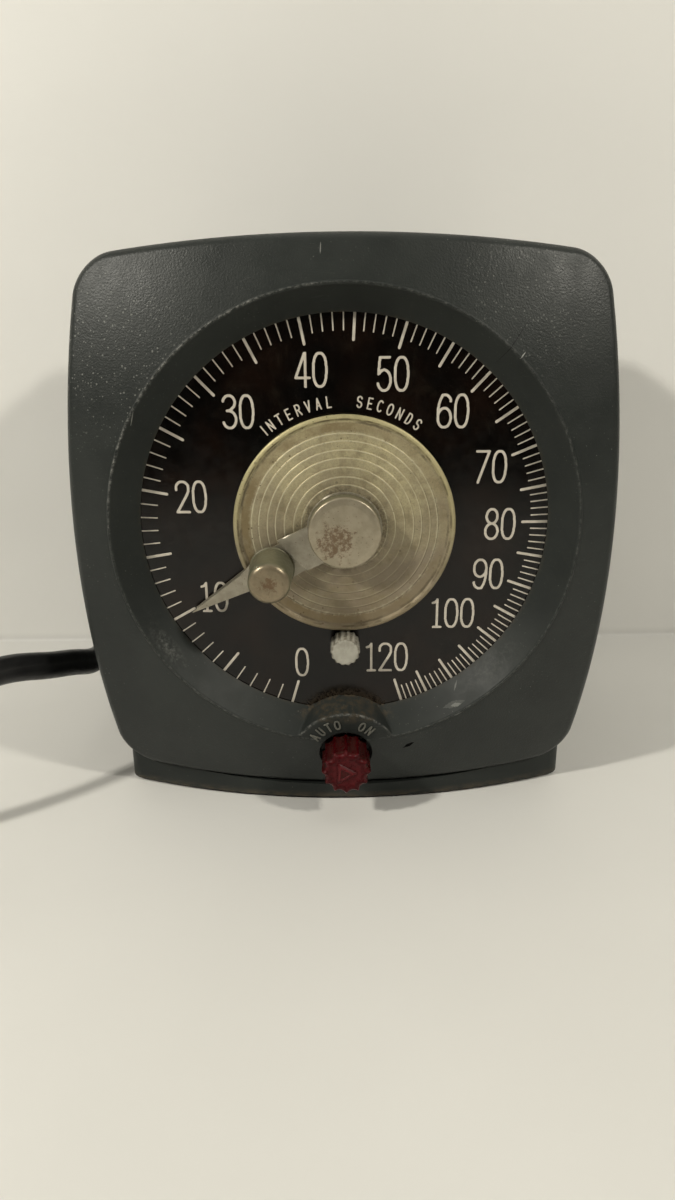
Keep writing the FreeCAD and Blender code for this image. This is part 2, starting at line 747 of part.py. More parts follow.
# ---------------------------------------------------------------- small fluted control
TRIM_Y = -dim.trim_down
TRIM_SHAFT, TRIM_BORE = 1.5, 1.55          # radii


@piece
def trim_knob():
    back = 0.3
    knob = fluted_knob("trim_knob", dim.trim_radius, dim.trim_front - back,
                       cutter_out=0.62, cutter_radius=0.95, count=14)
    pocket(knob, sketch(knob, "trim_knob_bore", circles=[(0, 0, TRIM_BORE)]), 5.5)
    return at_dial(knob, 0, TRIM_Y, back)


@piece
def trim_shaft():
    return cylinder("trim_shaft", TRIM_SHAFT, 13.5, 0, TRIM_Y, -8.0)


@piece
def trim_control():
    return cut("trim_control", cylinder("trim_can", 7.4, 6.4, 0, TRIM_Y, -9.0),
               cylinder("trim_can_bore", TRIM_BORE, 20, 0, TRIM_Y, -8.2))


# ---------------------------------------------------------------- selector
@piece
def selector_switch():
    block = box("sel_block", -12.0, 12.0, SELECTOR_Y - 9.5, SELECTOR_Y + 9.5, -18.0, -4.0)
    neck = cylinder("sel_bush", dim.selector_bush, 8.6, 0, SELECTOR_Y, -4.1)
    bore = cylinder("sel_bore", dim.selector_shaft + 0.05, 30, 0, SELECTOR_Y, -10.0)
    return cut("selector_switch", fuse("sel_sum", [block, neck]), bore)


@piece
def selector_nut():
    hexagon = [(6.2, 0), (3.1, 5.369), (-3.1, 5.369), (-6.2, 0), (-3.1, -5.369), (3.1, -5.369)]
    bore = [(0, 0, dim.selector_bush + FIT)]
    return padded("selector_nut", hexagon, bore, 1.5, 2.4, 0, SELECTOR_Y)


@piece
def selector_shaft():
    return cylinder("selector_shaft", dim.selector_shaft, 24.0, 0, SELECTOR_Y, -9.9)


@piece
def selector_knob():
    """Red lobed knob with a raised triangle on its face."""
    turn = 15.0
    cutter_out, scallop_depth = 1.27, 1.0
    height = dim.selector_front - dim.selector_back
    knob = fluted_knob("selector_knob", dim.selector_radius, height, cutter_out=cutter_out,
                       cutter_radius=cutter_out + scallop_depth, count=12)
    bore = sketch(knob, "selector_knob_bore", circles=[(0, 0, dim.selector_shaft + FIT)])
    pocket(knob, bore, 9.6)
    # drawn turned back, so that with the knob in place the triangle points to the right
    cosine, sine = math.cos(math.radians(turn)), math.sin(math.radians(turn))
    triangle = [(x * cosine + y * sine, -x * sine + y * cosine)
                for x, y in ((3.7, 0), (-2.6, 3.7), (-2.6, -3.7))]
    pad(knob, sketch(knob, "selector_knob_mark", triangle, up=height), 0.7)
    return at_dial(knob, 0, SELECTOR_Y, dim.selector_back, turn)


# ---------------------------------------------------------------- movement frame
# The middle gear stands up and left of the arbor at 45 degrees, its centre kept to 0.01;
# the motor pinion stands straight to the right of the middle gear.
MODULE = dim.gear_module.number
MAIN_TEETH = dim.main_teeth.number
MIDDLE_TEETH = dim.middle_teeth.number
PINION_TEETH = dim.pinion_teeth.number
MOTOR_TEETH = dim.motor_teeth.number
MIDDLE_OFFSET = round(
    (MAIN_TEETH + PINION_TEETH) * MODULE / 2.0 * math.cos(math.radians(45.0)), 2)
MIDDLE = (-MIDDLE_OFFSET, MIDDLE_OFFSET)
MOTOR = (MIDDLE[0] + (MIDDLE_TEETH + MOTOR_TEETH) * MODULE / 2.0, MIDDLE[1])
MIDDLE_ARBOR, MIDDLE_BORE = 1.5, 1.52      # radii
PLATE_BORES = [(0, 0, 4.6), (*MIDDLE, 1.55)] + [(x, y, 1.5) for x, y in PILLARS]


def square(half):
    return [(-half, -half), (half, -half), (half, half), (-half, half)]


@piece
def front_plate():
    holes = PLATE_BORES + [(x, y, 1.6) for x, y in MOVEMENT_SCREWS] + [(*LEVER_PIVOT, 1.5)]
    return padded("front_plate", square(dim.front_plate_half), holes, FRONT_PLATE_BACK,
                  dim.plate_thick)


@piece
def rear_plate():
    holes = PLATE_BORES + [(*MOTOR, 4.0)] + [(x, y, 1.5) for x, y in MOTOR_POSTS]
    return padded("rear_plate", square(dim.rear_plate_half), holes, REAR_PLATE_BACK,
                  dim.plate_thick)


@piece
def frame_pillars():
    return group("frame_pillars", spacers("pillar", PILLARS, dim.pillar_radius,
                                          dim.frame_rear + FRONT_PLATE_BACK, -dim.frame_rear))


@piece
def pillar_screws():
    return group("pillar_screws",
                 screws("pillar_screw_front", PILLARS, -dim.frame_front, 9)
                 + screws("pillar_screw_rear", PILLARS, REAR_PLATE_BACK, 9, front=False))


@piece
def movement_screws():
    return group("movement_screws", screws("movement_screw", MOVEMENT_SCREWS,
                                           FRONT_PLATE_BACK, 7.5, front=False))


def arbor_bush(name, plate_back, flange_k):
    barrel = cylinder(name + "_barrel", 4.58, 2.4, 0, 0, plate_back - 0.4)
    flange = cylinder(name + "_flange", 6.2, 0.8, 0, 0, flange_k)
    bore = cylinder(name + "_bore", dim.arbor_radius + dim.run_gap, 20, 0, 0, plate_back - 8)
    return cut(name, fuse(name + "_sum", [barrel, flange]), bore)


@piece
def arbor_bushes():
    """Flanged bearings: flange before the front plate, and behind the rear one."""
    return group("arbor_bushes", [
        arbor_bush("bush_front", FRONT_PLATE_BACK, FRONT_PLATE_BACK + dim.plate_thick),
        arbor_bush("bush_rear", REAR_PLATE_BACK, REAR_PLATE_BACK - 0.8)])


# ---------------------------------------------------------------- gears
def gear_shape(teeth, thick, bore, phase):
    """Gear with straight-sided teeth; one tooth is centred on the angle phase."""
    pitch_radius = teeth * MODULE / 2.0
    tip_radius = pitch_radius + 0.82 * MODULE
    root_radius = pitch_radius - 1.15 * MODULE
    # radius, and angle from the tooth's centre as a share of the tooth pitch
    tooth = ((root_radius, -0.36), (pitch_radius, -0.235), (tip_radius, -0.10),
             (tip_radius, 0.10), (pitch_radius, 0.235), (root_radius, 0.36))
    step = 2 * math.pi / teeth
    points = []
    for n in range(int(teeth)):
        centre = n * step + phase
        for radius, share in tooth:
            angle = centre + share * step
            points.append(Vector(radius * math.cos(angle), radius * math.sin(angle), 0))
    points.append(points[0])
    gear = Part.Face(Part.makePolygon(points)).extrude(Vector(0, 0, thick))
    if bore > 0:
        gear = gear.cut(Part.makeCylinder(bore, thick + 2, Vector(0, 0, -1)))
    return gear


@piece
def main_gear():
    # one tooth points at the middle gear
    shape = gear_shape(MAIN_TEETH, 1.5, dim.arbor_radius.number + FIT, math.radians(135.0))
    return at_dial(shape_feature("main_gear", shape), 0, 0, -24.0)


@piece
def intermediate_gear():
    """Gear, collar and pinion in one; a gap of the pinion faces the main gear."""
    phase = math.radians(315.0) + math.pi / PINION_TEETH
    pinion = gear_shape(PINION_TEETH, 3.5, MIDDLE_BORE, phase)
    pinion.translate(Vector(0, 0, 5.5))
    gear = gear_shape(MIDDLE_TEETH, 1.5, MIDDLE_BORE, 0.0)
    collar = Part.makeCylinder(2.4, 4.2, Vector(0, 0, 1.4))
    collar = collar.cut(Part.makeCylinder(MIDDLE_BORE, 20, Vector(0, 0, -1)))
    shape = gear.fuse(collar).fuse(pinion).removeSplitter()
    return at_dial(shape_feature("intermediate_gear", shape), *MIDDLE, -30.5)


@piece
def intermediate_arbor():
    return cylinder("intermediate_arbor", MIDDLE_ARBOR, 32.0, *MIDDLE, -42.5)


@piece
def motor_pinion():
    """Pinion with its shaft; a gap faces the middle gear."""
    pinion = gear_shape(MOTOR_TEETH, 3.0, 0.0, math.pi + math.pi / MOTOR_TEETH)
    shaft = Part.makeCylinder(1.2, 14, Vector(0, 0, -14))
    shape = pinion.fuse(shaft).removeSplitter()
    return at_dial(shape_feature("motor_pinion", shape), *MOTOR, -31.5)


# ---------------------------------------------------------------- motor
CORE_BACK, CORE_FRONT = -70.0, -60.0


@piece
def rotor_can():
    return turned("rotor_can", [
        (1.25, -42.1), (3.6, -42.1), (3.6, -43.0), (16.0, -43.0), (17.0, -44.0, 1.0, -1),
        (17.0, -56.0), (8.5, -56.0), (8.5, -74.0), (0, -74.0), (0, -46.0), (1.25, -46.0)],
        *MOTOR)


@piece
def field_core():
    return cut("field_core",
               box("core_out", -28.0, 24.0, -32.0, 38.0, CORE_BACK, CORE_FRONT),
               box("core_win", -17.0, 13.0, -20.0, 6.0, -75.0, -55.0),
               cylinder("core_bore", 8.7, 30, *MOTOR, -80.0),
               *cylinders("core_hole", MOTOR_POSTS, 1.6, 30, -80.0))


@piece
def field_coil():
    """Coil round the lower limb of the core."""
    return cut("field_coil", box("coil_out", -16.0, 12.0, -39.0, -13.5, -77.0, -53.0),
               box("coil_in", -20.0, 16.0, -32.1, -19.9, CORE_BACK - 0.1, CORE_FRONT + 0.1))


@piece
def motor_posts():
    return group("motor_posts", spacers("motor_post", MOTOR_POSTS, 3.0,
                                        REAR_PLATE_BACK - CORE_FRONT, CORE_FRONT))


@piece
def motor_screws():
    return group("motor_screws",
                 screws("motor_screw_rear", MOTOR_POSTS, CORE_BACK, 16, front=False)
                 + screws("motor_screw_front", MOTOR_POSTS, -dim.frame_rear, 5.2))


# ---------------------------------------------------------------- switching
PLUNGER_X, PLUNGER_Y = 30.0, dim.dial_y + 15.2


@piece
def switch_cam():
    circles = [(0, 0, 12.0), (0, 0, dim.arbor_radius + FIT)]
    return padded("switch_cam", (), circles, -16.0, 1.5)


@piece
def snap_switch():
    block = cut("snap_switch_block",
                box("sb_block", 14.0, 44.0, -36.0, -22.0, -22.0, FRONT_PLATE_BACK),
                *cylinders("sb_hole", SWITCH_SCREWS, 1.6, 30, -40.0))
    hole = upright_cylinder("sb_plunger_hole", 1.25, 8, PLUNGER_X, PLUNGER_Y, dim.dial_z - 28.0)
    return cut("snap_switch", block, hole)


@piece
def switch_plunger():
    return upright_cylinder("switch_plunger", 1.2, 7.55, PLUNGER_X, PLUNGER_Y, dim.dial_z - 26.2)


@piece
def switch_lever():
    """Strip from an eye on the pivot towards the cam."""
    width = 5.0
    run_x, run_y = LEVER_TIP[0] - LEVER_PIVOT[0], LEVER_TIP[1] - LEVER_PIVOT[1]
    reach = math.hypot(run_x, run_y)
    strip = [(1.5, -0.4), (reach, -0.4), (reach, 0.4), (1.5, 0.4)]
    lever = new_body("switch_lever")
    pad(lever, sketch(lever, "lever_strip", strip), width)
    pad(lever, sketch(lever, "lever_eye", circles=[(0, 0, 2.0)]), width)
    pocket(lever, sketch(lever, "lever_bore", circles=[(0, 0, 1.25)]), 9)
    return at_dial(lever, *LEVER_PIVOT, -18.0, math.degrees(math.atan2(run_y, run_x)))


@piece
def lever_pivot_pin():
    return fuse("lever_pivot_pin", [cylinder("pin_shank", 1.2, 8.2, *LEVER_PIVOT, -19.4),
                                    cylinder("pin_head", 2.2, 0.8, *LEVER_PIVOT, -19.9)])


@piece
def switch_screws():
    return group("switch_screws", screws("switch_screw", SWITCH_SCREWS, -22.0, 10.2,
                                         front=False, head=2.6, radius=1.5))


# ---------------------------------------------------------------- wiring side
TERMINAL_X, TERMINAL_Y = (-21.0, -7.0, 7.0, 21.0), 17.0
STRIP_HEIGHT = 9


@piece
def terminal_strip():
    """Block on the housing floor with four upright holes."""
    block = upright_box("strip_block", 64, 14, STRIP_HEIGHT, -32.0, 10.0, FLOOR_Z)
    return cut("terminal_strip", block,
               *[upright_cylinder("strip_hole_%d" % n, 1.6, 20, x, TERMINAL_Y, 2.0)
                 for n, x in enumerate(TERMINAL_X)])


@piece
def terminal_screws():
    made = []
    for n, x in enumerate(TERMINAL_X):
        head = upright_cylinder("ts_head_%d" % n, 3.0, 1.6, x, TERMINAL_Y, FLOOR_Z + STRIP_HEIGHT)
        shank = upright_cylinder("ts_shank_%d" % n, 1.5, 6.2, x, TERMINAL_Y, FLOOR_Z + 3)
        made.append(fuse("ts_%d" % n, [head, shank]))
    return group("terminal_screws", made)


FLANGE_THICK = 2.6


@piece
def outlet_socket():
    x, y = OUTLET
    k = HOUSING_REAR
    whole = fuse("out_sum", [
        cylinder("out_barrel", dim.outlet_radius, 20.0, x, y, k - 0.1),
        cylinder("out_flange", dim.outlet_flange, FLANGE_THICK, x, y, k - FLANGE_THICK)])
    return cut("outlet_socket", whole,
               box("out_slot_left", x - 7.4, x - 5.2, y - 3.6, y + 3.6, k - 5, k + 13),
               box("out_slot_right", x + 5.2, x + 7.4, y - 3.6, y + 3.6, k - 5, k + 13),
               *cylinders("out_screw_hole", OUTLET_SCREWS, 1.5, 20, k - 10))


@piece
def outlet_screws():
    return group("outlet_screws", screws(
        "outlet_screw", OUTLET_SCREWS, HOUSING_REAR - FLANGE_THICK, 5.6,
        front=False, head=2.3, radius=1.2, tall=1.4))


@piece
def strain_relief():
    """Sleeve round the cord, through the back wall; profile k is from the housing's rear."""
    return turned("strain_relief", [
        (5.0, 3.9), (7.6, 3.9), (7.6, 3.45), (6.2, 3.45), (6.2, -0.02), (8.4, -0.02),
        (8.0, -4.0), (6.6, -9.0), (5.0, -9.0)],
        dim.cord_x, dim.cord_z - dim.dial_z, HOUSING_REAR)


def smooth_line(points):
    curve = Part.BSplineCurve()
    curve.interpolate([Vector(*place) for place in points])
    return curve


@piece
def power_cord():
    """Flat cord, major axis upright, along a smooth line from the back wall to the plug."""
    # x, y, z of the cord's centre line
    line = [
        (-40, 36, 40), (-40, 50, 40), (-42, 64, 39.6), (-56, 76, 37),
        (-78, 66, 33.5), (-90, 40, 32), (-91.5, 14, 32.6), (-92.5, -9, 35.0),
        (-99.5, -31, 42.8), (-110, -52, 49.2), (-128, -72, 41.5), (-149, -80, 22.5),
        (-168, -68, 8.4), (-178, -42, 4.75), (-180, -16, 4.75), (-180, -4, 4.75)]
    spine = Part.Wire([smooth_line(line).toShape()])
    ellipse = Part.Ellipse(Vector(0, 0, 0), dim.cord_half.number, dim.cord_flat.number)
    section = Part.Wire([ellipse.toShape()])
    # section in the XZ plane: major axis along Z, the line leaves along +Y
    upright = Rotation(Vector(0, 0, 1), Vector(1, 0, 0), Vector(0, 1, 0), "XYZ")
    section.Placement = Placement(Vector(*line[0]), upright)
    sweep = Part.BRepOffsetAPI.MakePipeShell(spine)
    sweep.setBiNormalMode(Vector(0, 0, 1))
    sweep.add(section, False, True)
    sweep.build()
    sweep.makeSolid()
    return shape_feature("power_cord", sweep.shape())


# ---------------------------------------------------------------- plug
PLUG_X = -180.0
BLADE_OFFSETS = (-6.35, 6.35)


@piece
def plug_body():
    """Moulded plug at the end of the cord, lying on the table, blades towards +Y."""
    # y of the section, half width, bottom z, top z
    sections = [(-5.0, 4.6, 0.05, 10.2), (8.0, 7.0, 0.01, 13.4),
                (16.0, 10.6, 0.01, 15.6), (24.0, 12.4, 0.01, 17.0)]
    grip = new_body("plug_grip")
    # the normal of the XZ plane points to -Y
    sketches = [sketch(grip, "plug_section_%d" % n,
                       [(-half, low), (half, low), (half, high), (-half, high)],
                       up=-y, plane="XZ_Plane")
                for n, (y, half, low, high) in enumerate(sections)]
    loft = grip.newObject("PartDesign::AdditiveLoft", "plug_loft")
    loft.Profile = sketches[0]
    loft.Sections = sketches[1:]
    loft.Ruled = True
    doc.recompute()
    put(grip, PLUG_X, 0.0, 0.0)
    cord_room = upright_box("plug_cord_room", 6.6, 6.6, 9.6, PLUG_X - 3.3, -9.8, -0.05)
    return cut("plug_body", grip, cord_room, *[
        upright_box("blade_slot_%d" % n, 1.64, 12.0, 6.44, PLUG_X + offset - 0.82, 15.9, 5.0)
        for n, offset in enumerate(BLADE_OFFSETS)])


@piece
def plug_blades():
    made = []
    for n, offset in enumerate(BLADE_OFFSETS):
        x = PLUG_X + offset
        blade = upright_box("blade_%d" % n, 1.6, 25.5, 6.4, x - 0.8, 16.0, 5.02)
        hole = put(solid("Cylinder", "blade_hole_%d" % n, Radius=1.6, Height=10),
                   x - 5, 37.0, 8.2, Rotation(Vector(0, 1, 0), 90))
        made.append(cut("blade_cut_%d" % n, blade, hole))
    return group("plug_blades", made)


# ---------------------------------------------------------------- internal leads
def lead(name, points):
    """Round wire along a smooth line."""
    radius = 1.1
    curve = smooth_line(points)
    direction = curve.tangent(curve.FirstParameter)[0]
    section = Part.Wire([Part.Circle(Vector(*points[0]), direction, radius).toShape()])
    spine = Part.Wire([curve.toShape()])
    return shape_feature(name, spine.makePipeShell([section], True, True))


@piece
def internal_leads():
    # x, y, z of each centre line: two from the cord, two from the other terminals
    lines = [
        [(-40, 35.0, 41.4), (-40, 32, 39), (-39, 28, 34), (-34, 22, 24), (-24, 17.6, 17.8),
         (-21, 17, 17.2)],
        [(-39, 35.0, 38.4), (-37, 31, 35), (-22, 24.5, 24), (-9, 19, 18), (-7, 17, 17.2)],
        [(7, 17, 17.4), (8, 19, 24), (8, 22, 40), (6, 22, 54.0)],
        [(21, 17, 17.2), (24, 20, 24), (29, 25, 42), (29.5, 28.4, 53)],
    ]
    return group("internal_leads",
                 [lead("lead_%d" % n, line) for n, line in enumerate(lines, start=1)])


# ---------------------------------------------------------------- checks and export
doc.recompute()
failed = [(obj.Name, obj.State) for obj in doc.Objects
          if any(state in ("Invalid", "Error") for state in obj.State)]
for node, obj in PIECES.items():
    if obj.Shape.isNull() or not obj.Shape.isValid():
        failed.append((node, "null or invalid shape"))
    elif not obj.Shape.Solids:
        failed.append((node, "no solid"))
if failed:
    raise RuntimeError("failed objects: %r" % failed)

os.makedirs("parts", exist_ok=True)
for node, obj in PIECES.items():
    obj.Shape.exportStep(os.path.join("parts", node + ".step"))
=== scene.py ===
# Electric interval timer: its looks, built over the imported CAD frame.
# Row frame: x right, y back, z up, with the floor at z = 0. Lengths are in millimetres. Most
# pieces are drawn in dial coordinates: x right, y up from the dial centre, k out of the dial
# towards the front. make() turns them into metres in the row frame.
import bpy
import bmesh
import json
import math
import numpy as np
from functools import reduce
from mathutils import Matrix, Vector

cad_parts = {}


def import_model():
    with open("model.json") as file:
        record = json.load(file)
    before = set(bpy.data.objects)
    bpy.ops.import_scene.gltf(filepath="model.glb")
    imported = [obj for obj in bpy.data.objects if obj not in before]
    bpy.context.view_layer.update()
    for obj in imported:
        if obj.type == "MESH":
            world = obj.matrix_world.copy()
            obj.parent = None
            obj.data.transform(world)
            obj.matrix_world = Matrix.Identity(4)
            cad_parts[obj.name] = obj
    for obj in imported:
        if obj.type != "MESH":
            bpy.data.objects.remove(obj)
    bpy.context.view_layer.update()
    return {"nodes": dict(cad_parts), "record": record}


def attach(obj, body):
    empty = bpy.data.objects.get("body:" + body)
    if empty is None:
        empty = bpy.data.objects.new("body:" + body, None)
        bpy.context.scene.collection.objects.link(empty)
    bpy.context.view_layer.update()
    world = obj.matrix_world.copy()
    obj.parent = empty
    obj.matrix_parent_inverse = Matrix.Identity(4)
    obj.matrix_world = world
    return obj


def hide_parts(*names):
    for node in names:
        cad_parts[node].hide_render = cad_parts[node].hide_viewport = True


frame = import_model()
COARSE = 1.0          # factor on the grid steps of the surface nets

MM = 0.001
DIAL_Y, DIAL_Z = -45.0, 94.0            # dial centre in the row frame
BOSS_Y, BOSS_R = -74.4, 17.8            # boss below the dial: centre, radius at k = 0
BEAD_R = 69.30                          # bead round the mouth of the cone
TRIM_Y = -38.4                          # fluted knob above the boss
STEP_RADII = (28.1, 25.9, 23.3, 20.9, 18.2, 15.4, 13.0)     # turned steps of the centre disc
# Long marks of the scale, every 5 seconds: degrees clockwise from straight down.
SCALE_DEG = (16.22, 39.19, 60.7, 80.92, 100.68, 118.96, 136.02, 152.54, 168.11, 183.0,
             197.04, 210.55, 223.2, 235.47, 247.26, 258.91, 269.43, 279.82, 289.8,
             299.47, 308.71, 317.71, 325.99, 334.75, 342.83)
POINTER_DEG = SCALE_DEG[2]              # the setting pointer stands at 10 seconds


def make(name, verts, faces, body, mat, replaces=None, normals=None, attrs=None,
         angle=None, dial=True, fix=True):
    """Mesh piece from vertices in dial coordinates, or in row-frame mm when dial is False."""
    points = np.asarray(verts, float)
    if dial:
        points = np.c_[points[:, 0], DIAL_Y - points[:, 2], DIAL_Z + points[:, 1]]
    mesh = bpy.data.meshes.new(name)
    mesh.from_pydata((points * MM).tolist(), [], [list(map(int, face)) for face in faces])
    mesh.update()
    if fix:
        bm = bmesh.new()
        bm.from_mesh(mesh)
        bmesh.ops.recalc_face_normals(bm, faces=bm.faces)
        bm.to_mesh(mesh)
        bm.free()
    mesh.polygons.foreach_set("use_smooth", [True] * len(mesh.polygons))
    if angle is not None:
        mesh.set_sharp_from_angle(angle=math.radians(angle))
    for key, values in (attrs or {}).items():
        layer = mesh.attributes.new(key, "FLOAT", "POINT")
        layer.data.foreach_set("value", np.asarray(values, np.float32))
    if normals is not None:
        turned = np.c_[normals[:, 0], -normals[:, 2], normals[:, 1]]
        mesh.normals_split_custom_set_from_vertices(turned.tolist())
    mesh.materials.append(MATERIALS[mat])
    ob = bpy.data.objects.new(name, mesh)
    bpy.context.scene.collection.objects.link(ob)
    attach(ob, body)
    if replaces:
        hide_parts(replaces)


# ------------------------------------------------------------------ shader helpers
FALL = (1.0, 0.0)


class Mat:
    """Principled material in object millimetres; paint() lays colours over self.colour."""

    def __init__(self, name, colour=None):
        self.material = bpy.data.materials.new(name)
        self.material.use_nodes = True
        self.tree = self.material.node_tree
        self.tree.nodes.clear()
        self.colour = colour
        self.output = self.node("ShaderNodeOutputMaterial")
        self.shader = self.node("ShaderNodeBsdfPrincipled")
        self.link(self.shader.outputs[0], self.output.inputs[0])
        coords = self.node("ShaderNodeTexCoord")
        to_mm = self.node("ShaderNodeVectorMath")
        to_mm.operation = "SCALE"
        self.link(coords.outputs["Object"], to_mm.inputs[0])
        to_mm.inputs["Scale"].default_value = 1000.0
        self.mm = to_mm.outputs[0]

    def node(self, kind):
        return self.tree.nodes.new(kind)

    def link(self, source, target):
        self.tree.links.new(source, target)

    def feed(self, socket, value):
        if isinstance(value, bpy.types.NodeSocket):
            self.link(value, socket)
        elif isinstance(value, tuple) and socket.type == "RGBA":
            socket.default_value = (*value, 1)
        else:
            socket.default_value = value

    def set(self, **sockets):
        """Sets inputs of the Principled shader; underscores stand for spaces."""
        for key, value in sockets.items():
            self.feed(self.shader.inputs[key.replace("_", " ")], value)

    def noise(self, scale, detail=4, rough=0.6, vec=None):
        x = self.node("ShaderNodeTexNoise")
        self.feed(x.inputs["Vector"], vec or self.mm)
        x.inputs["Scale"].default_value = scale
        x.inputs["Detail"].default_value = detail
        x.inputs["Roughness"].default_value = rough
        return x.outputs[0]

    def voronoi(self, scale, vec, feature="F1", out="Distance"):
        x = self.node("ShaderNodeTexVoronoi")
        x.feature = feature
        self.feed(x.inputs["Vector"], vec)
        x.inputs["Scale"].default_value = scale
        return x.outputs[out]

    def mapped(self, scale=(1, 1, 1), offset=(0, 0, 0), turn=0.0):
        """Object millimetres scaled, moved, and turned by degrees about y."""
        x = self.node("ShaderNodeMapping")
        self.feed(x.inputs["Vector"], self.mm)
        x.inputs["Scale"].default_value = scale
        x.inputs["Location"].default_value = offset
        x.inputs["Rotation"].default_value = (0, math.radians(turn), 0)
        return x.outputs[0]

    def shift(self, *offset):
        return self.mapped(offset=offset)

    def math(self, op, a, b=0.0, c=None, clamp=False):
        x = self.node("ShaderNodeMath")
        x.operation = op
        x.use_clamp = clamp
        self.feed(x.inputs[0], a)
        self.feed(x.inputs[1], b)
        if c is not None:
            self.feed(x.inputs[2], c)
        return x.outputs[0]

    def mul(self, a, b):
        return self.math("MULTIPLY", a, b)

    def add(self, a, b):
        return self.math("ADD", a, b)

    def sub(self, a, b):
        return self.math("SUBTRACT", a, b)

    def most(self, a, b):
        return self.math("MAXIMUM", a, b)

    def length(self, a, b):
        return self.math("SQRT", self.add(self.mul(a, a), self.mul(b, b)))

    def vmath(self, op, a, b=(0, 0, 0)):
        x = self.node("ShaderNodeVectorMath")
        x.operation = op
        self.feed(x.inputs[0], a)
        self.feed(x.inputs[1], b)
        return x.outputs[0]

    def step(self, value, low, high, to=(0.0, 1.0)):
        """Smooth step from to[0] at low to to[1] at high."""
        x = self.node("ShaderNodeMapRange")
        x.interpolation_type = "SMOOTHSTEP"
        x.clamp = True
        self.feed(x.inputs["Value"], value)
        for key, number in zip(("From Min", "From Max", "To Min", "To Max"), (low, high, *to)):
            x.inputs[key].default_value = number
        return x.outputs[0]

    def patch(self, scale, low, high, to=(0.0, 1.0), detail=4, rough=0.6, vec=None):
        """Noise cut into patches between the levels low and high."""
        return self.step(self.noise(scale, detail, rough, vec), low, high, to)

    def gloss(self, least, most, scale, detail=4, rough=0.6):
        """Roughness that wanders between least and most."""
        return self.patch(scale, 0.3, 0.7, (least, most), detail, rough)

    def band(self, value, rise, fall):
        """1 between the two spans, rising over the first and falling over the second."""
        return self.mul(self.step(value, *rise), self.step(value, *fall, to=FALL))

    def mix(self, fac, a, b, blend="MIX"):
        x = self.node("ShaderNodeMix")
        x.data_type = "RGBA"
        x.blend_type = blend
        x.clamp_factor = True
        self.feed(x.inputs[0], fac)
        self.feed(x.inputs[6], a)
        self.feed(x.inputs[7], b)
        return x.outputs[2]

    def paint(self, mask, tint, amount=None):
        if amount is not None:
            mask = self.mul(mask, amount)
        self.colour = self.mix(mask, self.colour, tint)

    def attr(self, name):
        x = self.node("ShaderNodeAttribute")
        x.attribute_name = name
        return x.outputs["Fac"]

    def carried(self, name, **patch):
        """Patches where the mesh attribute asks for them."""
        return self.mul(self.attr(name), self.patch(**patch))

    def xyz(self):
        x = self.node("ShaderNodeSeparateXYZ")
        self.feed(x.inputs[0], self.mm)
        return x.outputs

    def bump(self, height, strength, distance, under=None):
        """distance is in millimetres."""
        x = self.node("ShaderNodeBump")
        self.feed(x.inputs["Height"], height)
        x.inputs["Strength"].default_value = strength
        x.inputs["Distance"].default_value = distance * MM
        if under is not None:
            self.link(under, x.inputs["Normal"])
        return x.outputs[0]

    def specks(self, scale, size, share, vec=None):
        """Sparse dots in cells of 1/scale mm: radius about size cells, in a share of them."""
        vec = vec or self.mm
        distance = self.voronoi(scale, vec)
        cell_colour = self.voronoi(scale, vec, out="Color")
        parts = self.node("ShaderNodeSeparateColor")
        self.link(cell_colour, parts.inputs[0])
        chosen = self.math("LESS_THAN", parts.outputs[0], share)
        radius = self.math("MULTIPLY_ADD", parts.outputs[1], size * 0.8, size * 0.4)
        return self.mul(chosen, self.math("LESS_THAN", distance, radius))

    def around(self, x, y):
        """Distance from the line through dial point (x, y) along the dial axis."""
        o = self.xyz()
        return self.length(self.sub(o[0], x), self.sub(o[2], DIAL_Z + y))


# ------------------------------------------------------------------ materials
# Single marks on the front: (x0, y0, x1, y1) in dial coordinates, half width, colour, amount.
SINGLE_MARKS = (
    ((18.6, -72.7, 22.2, -70.5), 0.55, (0.002, 0.002, 0.002), 1.0),
    ((31.2, -58.9, 37.9, -55.9), 0.75, (0.115, 0.118, 0.108), 0.38),
    ((33.4, -58.1, 36.8, -56.8), 0.42, (0.24, 0.245, 0.225), 0.50),
    ((33.9, -60.7, 36.9, -59.4), 0.34, (0.20, 0.205, 0.19), 0.45),
    ((34.8, -54.2, 35.9, -51.2), 0.20, (0.22, 0.225, 0.21), 0.45),
    ((-6.2, 76.0, -6.0, 79.4), 0.14, (0.30, 0.30, 0.28), 0.6),
    ((42.6, 47.2, 51.4, 59.8), 0.16, (0.006, 0.006, 0.006), 0.85),
    ((48.6, 48.9, 50.2, 50.8), 0.16, (0.42, 0.42, 0.39), 0.7),
    ((-60.5, 31.0, -59.0, 36.0), 0.12, (0.35, 0.35, 0.32), 0.45))
MARKS_FRONT_Y = -40.0       # the single marks lie in front of this plane


def single_mark(m, o, ends, half):
    """Mask of a ragged spindle-shaped mark between two points of the front."""
    x0, y0, x1, y1 = ends
    dx, dy = x1 - x0, y1 - y0
    px, py = m.sub(o[0], x0), m.sub(o[2], DIAL_Z + y0)
    dot = m.add(m.mul(px, dx), m.mul(py, dy))
    along = m.math("DIVIDE", dot, dx * dx + dy * dy, clamp=True)
    away = m.length(m.sub(px, m.mul(along, dx)), m.sub(py, m.mul(along, dy)))
    width = m.mul(m.math("SINE", m.mul(along, math.pi)), half)
    ragged = m.mul(m.sub(m.noise(1.2, detail=3), 0.5), half * 1.2)
    inside = m.math("LESS_THAN", m.add(away, ragged), width)
    return m.mul(inside, m.math("LESS_THAN", o[1], MARKS_FRONT_Y))


